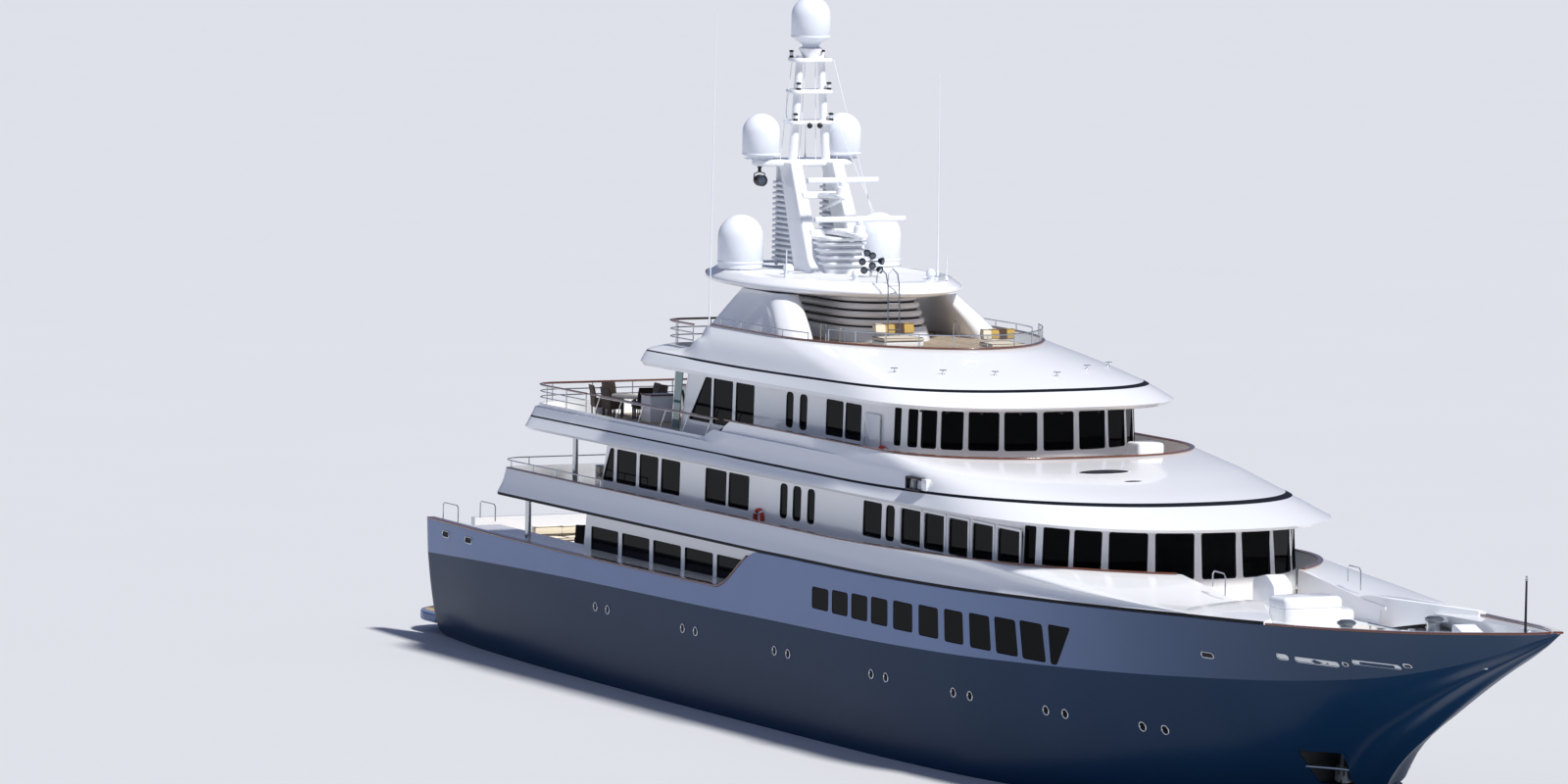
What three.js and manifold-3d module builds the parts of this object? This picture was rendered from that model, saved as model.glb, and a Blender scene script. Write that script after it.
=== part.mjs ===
// A four-deck displacement motor yacht, as a 1:2 scale model of a ship 71.6 m long.
// Every size below is written in metres of the full-size ship, and M turns it into model millimetres.
// Origin: on the waterline, at the middle of the length, on the centreline. +X bow, +Y port, +Z up.
import * as THREE from 'three';
import { mergeVertices } from 'three/addons/utils/BufferGeometryUtils.js';
import Module from 'manifold-3d';

const wasm = await Module();
wasm.setup();

// Driving dimensions
const SCALE = 0.5;
const M = 1000 * SCALE;
const GAP = 0.3 / M;
const LENGTH = 71.6;
const BEAM = 12.4;
const BOW = LENGTH / 2;
const STERN = -LENGTH / 2;
const TRANSOM = STERN + 2.6;
const MAIN_FLOOR = 3.3;
const UPPER_FLOOR = 6.1;
const BRIDGE_FLOOR = 8.95;
const SUN_FLOOR = 11.85;
const HARDTOP_TOP = 14.95;
const FOREDECK_FLOOR = 6.0;
const UPPER_UNDER = 5.84;
const BRIDGE_UNDER = 8.6;
const SUN_UNDER = 11.5;
const WALL = 0.16;
const GLASS = 0.05;
const PANE_GAP = 0.8 / M;
const LIP_GAP = 0.02;

// Colours and finishes
const finish = (color, roughness, metalness = 0) => ({ color, roughness, metalness });
const WHITE = finish(0xf2f4f6, 0.25);
const HULL_BLUE = finish(0x3c5270, 0.15);
const TEAK = finish(0xb08a62, 0.7);
const DARK_GLASS = finish(0x14161b, 0.08);
const STEEL = finish(0xc4c9cf, 0.25, 1);
const BRONZE = finish(0xb08d4f, 0.35, 1);
const BLACK = finish(0x17191c, 0.5);
const CUSHION = finish(0xd9cfb8, 0.9);

const group = new THREE.Group();

// Mesh helpers
const v = (x, y, z) => new THREE.Vector3(x, y, z);
const lerp = (a, b, t) => a + (b - a) * t;

function addMesh(name, geometry, look) {
  const scaled = geometry.clone().scale(M, M, M);
  const mesh = new THREE.Mesh(scaled, new THREE.MeshStandardMaterial(look));
  mesh.name = name;
  group.add(mesh);
}

function toSolid(geometry) {
  const bare = geometry.clone();
  bare.deleteAttribute('normal');
  bare.deleteAttribute('uv');
  const merged = mergeVertices(bare, 1e-5);
  return new wasm.Manifold(new wasm.Mesh({
    numProp: 3,
    vertProperties: new Float32Array(merged.attributes.position.array),
    triVerts: new Uint32Array(merged.index.array),
  }));
}

function toGeometry(solid) {
  const mesh = solid.getMesh();
  const geometry = new THREE.BufferGeometry();
  geometry.setAttribute('position', new THREE.BufferAttribute(new Float32Array(mesh.vertProperties), 3));
  geometry.setIndex(new THREE.BufferAttribute(new Uint32Array(mesh.triVerts), 1));
  return geometry;
}

const joined = (first, ...others) => others.reduce((sum, part) => sum.add(toSolid(part)), toSolid(first));
const union = (...parts) => toGeometry(joined(...parts));
const cut = (body, ...tools) =>
  toGeometry(tools.reduce((rest, tool) => rest.subtract(toSolid(tool)), toSolid(body)));

function volumeOf(points, faces) {
  return faces.reduce((sum, [a, b, c]) =>
    sum + points[a].dot(new THREE.Vector3().crossVectors(points[b], points[c])) / 6, 0);
}

// A closed skin over rings of equally many points, capped flat at both ends.
// The caps are filled as seen along X or along Z.
function skin(rings, along) {
  const count = rings[0].length;
  const points = rings.flat();
  const faces = [];
  for (let r = 0; r < rings.length - 1; r++) {
    for (let i = 0; i < count; i++) {
      const a = r * count + i;
      const b = r * count + ((i + 1) % count);
      faces.push([a, b, b + count], [a, b + count, a + count]);
    }
  }
  const flat = (p) => (along === 'x' ? new THREE.Vector2(p.y, p.z) : new THREE.Vector2(p.x, p.y));
  const fill = (ring) => THREE.ShapeUtils.triangulateShape(ring.map(flat), []);
  const last = (rings.length - 1) * count;
  const turns = THREE.ShapeUtils.isClockWise(rings[0].map(flat));
  fill(rings[0]).forEach(([a, b, c]) => faces.push(turns ? [a, b, c] : [a, c, b]));
  fill(rings.at(-1)).forEach(([a, b, c]) =>
    faces.push(turns ? [last + a, last + c, last + b] : [last + a, last + b, last + c]));
  const facing = volumeOf(points, faces) > 0 ? faces : faces.map(([a, b, c]) => [a, c, b]);
  const geometry = new THREE.BufferGeometry();
  geometry.setAttribute('position', new THREE.Float32BufferAttribute(points.flatMap((p) => p.toArray()), 3));
  geometry.setIndex(facing.flat());
  return geometry;
}

function box(x0, x1, y0, y1, z0, z1) {
  return new THREE.BoxGeometry(x1 - x0, y1 - y0, z1 - z0)
    .translate((x0 + x1) / 2, (y0 + y1) / 2, (z0 + z1) / 2);
}

// A cylinder or cone between two points
function rod(from, to, radius, sides = 8, topRadius = radius) {
  const way = new THREE.Vector3().subVectors(to, from);
  const turn = new THREE.Quaternion().setFromUnitVectors(v(0, 1, 0), way.clone().normalize());
  return new THREE.CylinderGeometry(topRadius, radius, way.length(), sides)
    .applyQuaternion(turn)
    .translate((from.x + to.x) / 2, (from.y + to.y) / 2, (from.z + to.z) / 2);
}

// A side view (x, z) made solid between two values of y
function plate(outline, y0, y1) {
  const shape = new THREE.Shape(outline.map(([x, z]) => new THREE.Vector2(x, z)));
  return new THREE.ExtrudeGeometry(shape, { depth: y1 - y0, bevelEnabled: false })
    .rotateX(Math.PI / 2)
    .translate(0, y1, 0);
}

// A turned body on a vertical axis; profile columns: radius, height
function turned(profile, x, y, sides = 16) {
  return new THREE.LatheGeometry(profile.map(([r, z]) => new THREE.Vector2(r, z)), sides)
    .rotateX(Math.PI / 2)
    .translate(x, y, 0);
}

// Plan outline: rounded stern corners, sides, and a superellipse front
const STERN_STEPS = 3;
const SIDE_STEPS = 6;
const NOSE_STEPS = 9;

function plan({ aft, fore, half, nose, power = 2, corner = 0.8, z }) {
  const breadth = typeof half === 'function' ? half : () => half;
  const height = typeof z === 'function' ? z : () => z;
  const port = [];
  for (let i = 0; i <= STERN_STEPS; i++) {
    const t = (i / STERN_STEPS) * Math.PI / 2;
    port.push([aft + corner * (1 - Math.sin(t)), breadth(aft) - corner * (1 - Math.cos(t))]);
  }
  port.reverse();
  port.forEach((p, i) => {
    const t = (i / STERN_STEPS) * Math.PI / 2;
    p[0] = aft + corner * (1 - Math.cos(t));
    p[1] = breadth(aft + corner) - corner * (1 - Math.sin(t));
  });
  const shoulder = fore - nose;
  for (let i = 1; i < SIDE_STEPS; i++) {
    const x = lerp(aft + corner, shoulder, i / SIDE_STEPS);
    port.push([x, breadth(x)]);
  }
  for (let i = 0; i <= NOSE_STEPS; i++) {
    const t = (1 - i / NOSE_STEPS) * Math.PI / 2;
    const x = shoulder + nose * Math.cos(t) ** (2 / power);
    port.push([x, breadth(shoulder) * Math.sin(t) ** (2 / power)]);
  }
  const starboard = port.slice(0, -1).reverse().map(([x, y]) => [x, -y]);
  return [...port, ...starboard].map(([x, y]) => v(x, y, height(x)));
}

const deckSkin = (levels) => skin(levels.map(plan), 'z');

// Hull
// Section columns: x, keel z, then half-breadth and height at the bilge, side, knuckle and sheer
const SECTIONS = [
  [TRANSOM, -0.35, 4.1, -0.25, 5.3, 0.5, 5.7, 3.1, 5.75, 4.35],
  [-28.0, -1.2, 4.4, -1.0, 5.75, 0.3, 5.98, 3.3, 6.0, 4.35],
  [-20.0, -2.6, 4.4, -2.2, 6.0, -0.4, 6.15, 3.5, 6.18, 4.35],
  [-8.6, -3.4, 4.7, -3.1, 6.1, -1.2, BEAM / 2, 3.65, BEAM / 2, 4.4],
  [-5.4, -3.4, 4.7, -3.1, 6.1, -1.2, BEAM / 2, 3.7, BEAM / 2, 5.9],
  [2.0, -3.4, 4.6, -3.1, 6.05, -1.1, 6.18, 3.8, BEAM / 2, 5.96],
  [8.0, -3.4, 4.0, -3.05, 5.7, -0.9, 6.03, 3.95, 6.12, 6.08],
  [14.0, -3.4, 2.8, -3.0, 4.6, -0.5, 5.5, 4.2, 5.82, 6.28],
  [18.0, -3.35, 1.7, -2.9, 3.4, -0.2, 4.9, 4.4, 5.35, 6.42],
  [21.5, -3.1, 0.85, -2.6, 2.2, 0.2, 4.15, 4.62, 4.75, 6.55],
  [24.0, -1.1, 0.45, -0.6, 1.4, 1.2, 3.5, 4.8, 4.3, 6.63],
  [26.5, 2.1, 0.3, 2.5, 1.2, 3.35, 2.85, 5.05, 3.75, 6.73],
  [29.0, 3.75, 0.3, 4.05, 1.0, 4.55, 2.15, 5.4, 3.12, 6.86],
  [31.5, 5.2, 0.25, 5.37, 0.7, 5.6, 1.35, 5.95, 2.32, 7.02],
  [33.7, 6.3, 0.15, 6.37, 0.36, 6.45, 0.7, 6.62, 1.3, 7.2],
  [35.0, 6.9, 0.08, 6.94, 0.17, 7.0, 0.3, 7.12, 0.58, 7.32],
  [BOW, 7.36, 0.02, 7.37, 0.03, 7.38, 0.05, 7.39, 0.08, 7.42],
];

function sectionAt(x) {
  const i = Math.max(1, SECTIONS.findIndex((row) => row[0] >= x));
  const [a, b] = [SECTIONS[i - 1], SECTIONS[i]];
  return a.map((value, k) => lerp(value, b[k], (x - a[0]) / (b[0] - a[0])));
}

const sheerHalf = (x) => sectionAt(Math.min(x, BOW))[8];
const sheerZ = (x) => sectionAt(Math.min(x, BOW))[9];

function halfAt(x, z) {
  const [, , , , , , kneeY, kneeZ, topY, topZ] = sectionAt(x);
  return lerp(kneeY, topY, (z - kneeZ) / (topZ - kneeZ));
}

function hullRing([x, keel, bilgeY, bilgeZ, sideY, sideZ, kneeY, kneeZ, topY, topZ]) {
  const port = [
    v(x, bilgeY, bilgeZ),
    v(x, lerp(bilgeY, sideY, 0.7), lerp(bilgeZ, sideZ, 0.35)),
    v(x, sideY, sideZ),
    v(x, lerp(sideY, kneeY, 0.62), lerp(sideZ, kneeZ, 0.5)),
    v(x, kneeY, kneeZ),
    v(x, topY, topZ),
  ];
  const starboard = port.map((p) => v(p.x, -p.y, p.z)).reverse();
  return [v(x, 0, keel), ...port, ...starboard];
}

// A recess in the deck, open above; its walls stand a bulwark's thickness inside the side
const BULWARK = 0.24;

function deckWell(floors, top) {
  const rings = floors.map(([x, floor]) => {
    const low = Math.max(halfAt(x, floor) - BULWARK, 0.05);
    const high = Math.max(halfAt(x, top) - BULWARK, 0.08);
    return [v(x, low, floor), v(x, high, top), v(x, -high, top), v(x, -low, floor)];
  });
  return skin(rings, 'x');
}

// Well floors; columns: x, height
const level = (xs, z) => xs.map((x) => [x, z]);
const HOUSE_WELL = level([-5.8, 2, 8, 14, 18, 21.5, 22.3], UPPER_UNDER);
const BOW_SHELF = 6.9;
const BOW_WELL = [
  ...level([22.1, 24, 26.5, 29, 31.5, 32.6], FOREDECK_FLOOR),
  ...level([33.3, 34.4], BOW_SHELF),
];
const AFT_WELL = level([TRANSOM + 0.3, -28, -20, -8.6, -6.6], MAIN_FLOOR);

const bulb = new THREE.SphereGeometry(1, 14, 8).scale(3.6, 0.85, 1.05).translate(22.6, 0, -2.3);
const skeg = plate([[-22, -2.4], [-14, -3.9], [2, -3.9], [6, -3.35], [6, -3.1], [-22, -1.9]], -0.2, 0.2);
const SHAFT = { y: 2.6, z: -2.55, propX: -27.6, hub: 0.5, radius: 0.13 };
const RUDDER = { x: -30.3, seat: -0.95, top: -1.25, low: -3.45 };
const rudderBosses = [-1, 1].map((side) =>
  rod(v(RUDDER.x, side * SHAFT.y, RUDDER.seat), v(RUDDER.x, side * SHAFT.y, -0.5), 0.22, 10));
const hullBody = union(skin(SECTIONS.map(hullRing), 'x'), bulb, skeg, ...rudderBosses);
const wells = [deckWell(HOUSE_WELL, 7.5), deckWell(BOW_WELL, 8.5), deckWell(AFT_WELL, 6.5)];

// Stairs from the swim platform, one flight on each side of the stern
const STAIR = { inner: 3.9, outer: 5.25, rise: 0.43, going: 0.5, steps: 6, foot: 0.8 };
const stairWells = [-1, 1].flatMap((side) => Array.from({ length: STAIR.steps }, (_, i) => {
  const [a, b] = [side * STAIR.inner, side * STAIR.outer];
  return box(TRANSOM - 1, TRANSOM + STAIR.going * (i + 1), Math.min(a, b), Math.max(a, b),
    STAIR.foot + STAIR.rise * i, 6);
}));
const GARAGE = { half: 3.1, low: 0.95, high: 2.95, depth: 2.4 };
const garage = box(TRANSOM - 1, TRANSOM + GARAGE.depth, -GARAGE.half, GARAGE.half, GARAGE.low, GARAGE.high);
// Anchor pockets in the flare of the bow
const POCKET = { aft: 24.3, fore: 25.5, inner: 0.75, low: 1.5, high: 2.6 };
const anchorPocket = (side) => box(POCKET.aft, POCKET.fore, -1, 1, POCKET.low, POCKET.high)
  .translate(0, side * (POCKET.inner + 1), 0);
const hull = cut(hullBody, ...wells, garage, ...stairWells, anchorPocket(1), anchorPocket(-1));
addMesh('hull', hull, HULL_BLUE);

const hullSolid = toSolid(hullBody);
const clearOfHull = (geometry) => toGeometry(toSolid(geometry).subtract(hullSolid.translate(0, 0, -GAP)));

const platform = plan({ aft: STERN, fore: TRANSOM - GAP, half: 5.3, nose: 0.01, corner: 1.6, z: 0.42 });
addMesh('swim_platform', skin([platform, platform.map((p) => v(p.x, p.y, 0.78))], 'z'), TEAK);

// Stern gear
const FIN = { x: -1.5, y: 5.15, z: -2.76, tilt: 0.6 };
for (const [label, side] of [['port', 1], ['starboard', -1]]) {
  const y = side * SHAFT.y;
  const shaft = rod(v(SHAFT.propX + SHAFT.hub + GAP, y, SHAFT.z), v(-15.5, y, SHAFT.z), SHAFT.radius);
  const barrel = rod(v(SHAFT.propX + 0.62, y, SHAFT.z), v(SHAFT.propX + 1.5, y, SHAFT.z), 0.27);
  const strut = (dy) => rod(v(SHAFT.propX + 1.05, y, SHAFT.z), v(SHAFT.propX + 1.05, y + dy, -0.6), 0.1, 6);
  addMesh(`shaft_${label}`, clearOfHull(union(shaft, barrel, strut(0.8), strut(-0.8))), STEEL);

  const hub = rod(v(SHAFT.propX - SHAFT.hub, y, SHAFT.z), v(SHAFT.propX + SHAFT.hub, y, SHAFT.z), 0.26, 12);
  const blades = Array.from({ length: 5 }, (_, i) => {
    const outline = new THREE.Shape();
    outline.moveTo(-0.16, 0.1);
    outline.quadraticCurveTo(-0.62, 0.75, -0.12, 1.15);
    outline.quadraticCurveTo(0.45, 1.1, 0.2, 0.1);
    return new THREE.ExtrudeGeometry(outline, { depth: 0.06, bevelEnabled: false, curveSegments: 4 })
      .translate(0, 0, -0.03)
      .rotateY(side * 0.95)
      .rotateX((i * 2 * Math.PI) / 5)
      .translate(SHAFT.propX, y, SHAFT.z);
  });
  addMesh(`propeller_${label}`, union(hub, ...blades), BRONZE);

  const blade = plate([[-31.2, RUDDER.top], [-29.5, RUDDER.top], [-29.7, RUDDER.low], [-30.9, RUDDER.low]],
    y - 0.11, y + 0.11);
  const stock = rod(v(RUDDER.x, y, RUDDER.top - 0.4), v(RUDDER.x, y, RUDDER.seat - GAP), 0.1, 10);
  addMesh(`rudder_${label}`, union(blade, stock), HULL_BLUE);

  const fin = union(plate([[-0.6, -0.12], [0.9, -0.12], [0.45, -1.3], [-0.65, -1.3]], -0.1, 0.1),
    rod(v(0, 0, -0.2), v(0, 0, 0.1), 0.12, 10))
    .rotateX(side * FIN.tilt)
    .translate(FIN.x, side * FIN.y, FIN.z);
  addMesh(`stabiliser_${label}`, clearOfHull(fin), HULL_BLUE);

  const anchor = union(box(-0.12, 0.12, -0.12, 0.12, -0.4, 0.5), box(-0.42, 0.42, -0.14, 0.14, -0.5, -0.28))
    .translate((POCKET.aft + POCKET.fore) / 2, side * (POCKET.inner + GAP + 0.14), 2.05);
  addMesh(`anchor_${label}`, anchor, STEEL);
}

const door = box(TRANSOM - 0.12, TRANSOM - GAP, -GARAGE.half - 0.1, GARAGE.half + 0.1, 0.85, 3.05);
addMesh('garage_door', door, HULL_BLUE);

// Deckhouses: a ring of wall with its windows cut, and a band of glass behind them
function houseRings({ levels }, inset) {
  return levels.map((level) => plan({
    ...level,
    aft: level.aft + inset,
    fore: level.fore - inset,
    half: level.half - inset,
    corner: Math.max(level.corner - inset, 0.05),
  }));
}

function ringWall(house, outer, inner, z0, z1) {
  const at = (inset) => {
    const [low, high] = houseRings(house, inset);
    return (z) => low.map((p, i) => p.clone().lerp(high[i], (z - low[0].z) / (high[0].z - low[0].z)));
  };
  const outside = skin([at(outer)(z0), at(outer)(z1)], 'z');
  const inside = skin([at(inner)(z0 - 0.5), at(inner)(z1 + 0.5)], 'z');
  return cut(outside, inside);
}

// A window cutter: columns of a row are aft x, fore x, lean of the aft edge, lean of the fore edge
function sideWindow([x0, x1, leanAft = 0, leanFore = 0], low, high, half) {
  const outline = [[x0, low], [x1, low], [x1 + leanFore, high], [x0 + leanAft, high]];
  return plate(outline, -half - 1, half + 1);
}

// A wedge that looks out at the rounded front, between two headings from the bow
function frontWindow([from, to], low, high, centreX) {
  const reach = (heading) => {
    const angle = THREE.MathUtils.degToRad(heading);
    return new THREE.Vector2(centreX + 12 * Math.cos(angle), 12 * Math.sin(angle));
  };
  const wedge = new THREE.Shape([new THREE.Vector2(centreX, 0), reach(from), reach(to)]);
  return new THREE.ExtrudeGeometry(wedge, { depth: high - low, bevelEnabled: false }).translate(0, 0, low);
}

// The same windows on both sides
const mirrored = (rows) => rows.flatMap(([from, to]) => [[from, to], [-to, -from]]);

const UPPER_HOUSE = {
  levels: [
    { aft: -20.6, fore: 15.4, half: 5.0, nose: 5.6, power: 2.2, corner: 0.5, z: UPPER_FLOOR + GAP },
    { aft: -20.0, fore: 15.2, half: 4.95, nose: 5.6, power: 2.2, corner: 0.5, z: BRIDGE_UNDER },
  ],
  sill: 7.0,
  head: 8.2,
  side: [[-20.0, -19.1, 0.6, 0], [-18.86, -17.29], [-17.05, -15.56], [-15.32, -13.83], [-11.86, -10.23],
    [-10.06, -8.5], [-6.15, -5.6], [-5.2, -4.58], [-4.12, -3.57], [-0.03, 1.3], [1.6, 2.23], [2.71, 4.12],
    [4.36, 5.77], [6.08, 7.42], [7.73, 9.14], [9.46, 10.95]],
  front: [[-5.4, 5.4], ...mirrored([[8, 18.7], [21.3, 32.1], [35, 43.4], [45.2, 55.3], [58.9, 64.4]])],
  frontSill: 7.0,
  frontHead: 8.42,
  heart: 8.7,
};

const BRIDGE_HOUSE = {
  levels: [
    { aft: -15.0, fore: 4.55, half: 4.65, nose: 4.6, power: 2.3, corner: 0.5, z: BRIDGE_FLOOR + GAP },
    { aft: -14.4, fore: 4.4, half: 4.6, nose: 4.6, power: 2.3, corner: 0.5, z: SUN_UNDER },
  ],
  sill: 10.08,
  head: 11.31,
  side: [[-6.5, -5.96], [-5.49, -4.93], [-3.53, -2.27], [-2.12, -0.95]],
  tall: [[-13.9, -12.2, 1.25, 0], [-12.04, -10.55], [-10.32, -8.91]],
  tallSill: 9.7,
  doors: [[-0.5, 0.4]],
  front: [[-7.1, 7.1],
    ...mirrored([[10.2, 23.9], [27, 38.6], [41, 49.8], [52, 58.7], [60.8, 65.8], [69.8, 72.8]])],
  frontSill: 10.16,
  frontHead: 11.38,
  heart: -0.1,
};

const MAIN_HOUSE = {
  levels: [
    { aft: -22.4, fore: -6.9, half: 4.7, nose: 0.3, power: 2, corner: 0.3, z: MAIN_FLOOR + GAP },
    { aft: -22.0, fore: -6.9, half: 4.7, nose: 0.3, power: 2, corner: 0.3, z: UPPER_UNDER },
  ],
  sill: 4.0,
  head: 5.2,
  side: [[-21.4, -19.2], [-18.9, -16.7], [-16.4, -14.2], [-13.9, -11.7], [-11.4, -9.2]],
  front: [],
};

const DOORWAY = 1.35;

function deckhouse(name, house) {
  const [low, high] = house.levels;
  const windows = [
    ...house.side.map((row) => sideWindow(row, house.sill, house.head, low.half)),
    ...(house.tall ?? []).map((row) => sideWindow(row, house.tallSill, house.head, low.half)),
    ...(house.doors ?? []).map(([x0, x1]) => sideWindow([x0, x1], low.z + 0.12, low.z + 2.05, low.half)),
    ...house.front.map((row) => frontWindow(row, house.frontSill, house.frontHead, house.heart)),
    box(low.aft - 1, low.aft + 1.6, -DOORWAY, DOORWAY, low.z - 1, low.z + 2.1),
  ];
  addMesh(`${name}_house`, cut(ringWall(house, 0, WALL, low.z, high.z - GAP), ...windows), WHITE);
  const lowest = house.tallSill ?? house.sill;
  const highest = house.frontHead ?? house.head;
  const band = ringWall(house, WALL + PANE_GAP, WALL + GLASS, lowest - 0.08, highest + 0.08);
  const doorGap = box(low.aft - 1, low.aft + 1.6, -DOORWAY - 1.5, DOORWAY + 1.5, 0, 20);
  addMesh(`${name}_glass`, cut(band, doorGap), DARK_GLASS);
}

deckhouse('main', MAIN_HOUSE);
deckhouse('upper', UPPER_HOUSE);
deckhouse('bridge', BRIDGE_HOUSE);

// Sliding saloon doors, two leaves behind each doorway
function slidingDoors(name, house) {
  const { aft, z } = house.levels[0];
  const front = aft + 0.66 + WALL;
  for (const [label, side] of [['port', 1], ['starboard', -1]]) {
    const [a, b] = [side * 0.01, side * (DOORWAY + 0.12)];
    addMesh(`${name}_door_${label}`,
      box(front, front + 0.06, Math.min(a, b), Math.max(a, b), z, z + 2.2), DARK_GLASS);
  }
}

slidingDoors('main', MAIN_HOUSE);
slidingDoors('upper', UPPER_HOUSE);
slidingDoors('bridge', BRIDGE_HOUSE);

// Wheelhouse doors, hung outside the wall
const leafY = BRIDGE_HOUSE.levels[0].half + GAP;
for (const [label, side] of [['port', 1], ['starboard', -1]]) {
  const [a, b] = [side * leafY, side * (leafY + 0.06)];
  addMesh(`wheelhouse_door_${label}`,
    box(-0.6, 0.5, Math.min(a, b), Math.max(a, b), BRIDGE_FLOOR + GAP, BRIDGE_FLOOR + 2.15), WHITE);
}

// Decks: each is one skin that runs under the lip, up the fascia, over the bulwark and down to its floor
const step = (x, at, low, high) => lerp(low, high, THREE.MathUtils.smoothstep(x, at, at + 1.2));

const upperSide = (inset) => (x) => Math.min(sheerHalf(Math.max(x, -5)), BEAM / 2) - inset;
const rise = (x, from, to, low, high) => lerp(low, high, THREE.MathUtils.smoothstep(x, from, to));
const hullTop = (x) => Math.max(sheerZ(Math.max(x, -5)), 5.9);
const UPPER_LEVELS = [
  { aft: -26.4, fore: 21.7, half: upperSide(0.65), nose: 0.4, power: 3, corner: 0.8, z: UPPER_UNDER + GAP },
  { aft: -26.5, fore: 21.8, half: upperSide(0.36), nose: 0.4, power: 3, z: (x) => hullTop(x) + LIP_GAP },
  { aft: -26.9, fore: 22.05, half: upperSide(0), nose: 0.5, power: 3, corner: 1.0,
    z: (x) => hullTop(x) + LIP_GAP },
  { aft: -27.0, fore: 22.05, half: upperSide(0.01), nose: 0.5, power: 3, corner: 1.1,
    z: (x) => hullTop(x) + 0.12 },
  { aft: -26.9, fore: 20.5, half: upperSide(0.16), nose: 6, power: 2.6, corner: 1.1,
    z: (x) => rise(x, -2, 18, 6.4, 6.85) },
  { aft: -26.8, fore: 17.4, half: 5.92, nose: 9.0, corner: 1.0, z: (x) => rise(x, -2, 17, 6.87, 7.32) },
  { aft: -26.68, fore: 17.26, half: 5.8, nose: 8.9, corner: 0.9, z: (x) => rise(x, -2, 17, 6.87, 7.32) },
  { aft: -26.65, fore: 17.2, half: 5.77, nose: 8.9, corner: 0.9, z: UPPER_FLOOR },
];
const pit = box(15.9, 23, -2.2, 2.2, UPPER_FLOOR, 9);
addMesh('upper_deck', cut(deckSkin(UPPER_LEVELS), pit), WHITE);

const BRIDGE_LEVELS = [
  { aft: -23.9, fore: 15.7, half: 5.3, nose: 8.0, corner: 0.8, z: BRIDGE_UNDER + GAP },
  { aft: -24.5, fore: 16.5, half: 6.08, nose: 8.5, corner: 0.9, z: (x) => rise(x, 0, 16, 8.5, 8.6) },
  { aft: -24.7, fore: 16.6, half: 6.18, nose: 8.5, corner: 1.0, z: (x) => rise(x, 0, 16, 8.6, 8.7) },
  { aft: -24.7, fore: 13.8, half: 5.95, nose: 8.0, corner: 1.0, z: (x) => rise(x, 0, 14, 9.0, 9.3) },
  { aft: -24.6, fore: 10.4, half: 5.85, nose: 6.6, corner: 1.0, z: (x) => step(x, -9.8, 9.3, 9.72) },
  { aft: -24.5, fore: 6.8, half: 5.7, nose: 5.2, corner: 0.9, z: (x) => step(x, -9.8, 9.42, 10.1) },
  { aft: -24.4, fore: 6.68, half: 5.58, nose: 5.1, corner: 0.9, z: (x) => step(x, -9.8, 9.42, 10.1) },
  { aft: -24.35, fore: 6.6, half: 5.55, nose: 5.1, corner: 0.9, z: BRIDGE_FLOOR },
];
const BRIDGE_POWERS = [2.4, 2.4, 2.4, 2.4, 2.5, 2.6, 2.6, 2.6];
const withPowers = (levels, powers) => levels.map((row, i) => ({ ...row, power: powers[i] }));
addMesh('bridge_deck', deckSkin(withPowers(BRIDGE_LEVELS, BRIDGE_POWERS)), WHITE);

const SUN_LEVELS = [
  { aft: -15.9, fore: 4.8, half: 4.8, nose: 5.6, corner: 0.8, z: SUN_UNDER + GAP },
  { aft: -16.4, fore: 5.5, half: 5.5, nose: 6.1, corner: 0.9, z: 11.45 },
  { aft: -16.6, fore: 5.65, half: 5.6, nose: 6.2, corner: 1.0, z: 11.6 },
  { aft: -16.6, fore: 3.9, half: 5.33, nose: 6.0, corner: 1.0, z: (x) => rise(x, -10, 3, 12.0, 12.1) },
  { aft: -16.4, fore: 1.7, half: 5.02, nose: 6.4, corner: 1.0, z: (x) => step(x, -13.6, 12.12, 12.65) },
  { aft: -16.2, fore: -0.6, half: 4.65, nose: 7.0, corner: 0.9, z: (x) => step(x, -13.6, 12.2, 13.12) },
  { aft: -16.1, fore: -0.72, half: 4.53, nose: 6.9, corner: 0.9, z: (x) => step(x, -13.6, 12.2, 13.12) },
  { aft: -16.05, fore: -0.8, half: 4.5, nose: 6.9, corner: 0.9, z: SUN_FLOOR },
];
const SUN_POWERS = [2.6, 2.8, 2.8, 2.8, 2.4, 2, 2, 2];
addMesh('sun_deck', deckSkin(withPowers(SUN_LEVELS, SUN_POWERS)), WHITE);

// Sun deck structure
const sunHouse = skin([
  plan({ aft: -11.2, fore: -6.2, half: 1.7, nose: 2.0, power: 2.4, corner: 0.6, z: SUN_FLOOR + GAP }),
  plan({ aft: -10.9, fore: -7.8, half: 1.35, nose: 1.6, power: 2.4, corner: 0.5, z: 14.4 - GAP }),
], 'z');
addMesh('sun_house', sunHouse, WHITE);

for (const [label, side] of [['port', 1], ['starboard', -1]]) {
  const low = [
    [-14.9, 4.25], [-14.6, 4.4], [-7.4, 4.3], [-6.5, 4.1], [-6.3, 3.7], [-6.8, 3.45], [-14.6, 3.85]];
  const middle = [
    [-13.8, 3.82], [-13.5, 3.94], [-8.1, 3.9], [-7.4, 3.7], [-7.2, 3.4], [-7.7, 3.2], [-13.5, 3.45]];
  const high = [
    [-12.6, 3.3], [-12.3, 3.4], [-9.9, 3.4], [-9.4, 3.2], [-9.3, 3.0], [-9.6, 2.85], [-12.3, 2.95]];
  const ring = (rows, z) => rows.map(([x, y]) => v(x, side * y, z));
  addMesh(`arch_${label}`,
    skin([ring(low, SUN_FLOOR + GAP), ring(middle, 13.1), ring(high, 14.4 - GAP)], 'z'), WHITE);
}

// An oval outline about a point on the centreline
const oval = (x, long, wide, z) => Array.from({ length: 32 }, (_, i) => {
  const t = (i / 32) * 2 * Math.PI;
  return v(x + long * Math.cos(t), wide * Math.sin(t), z);
});

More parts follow.
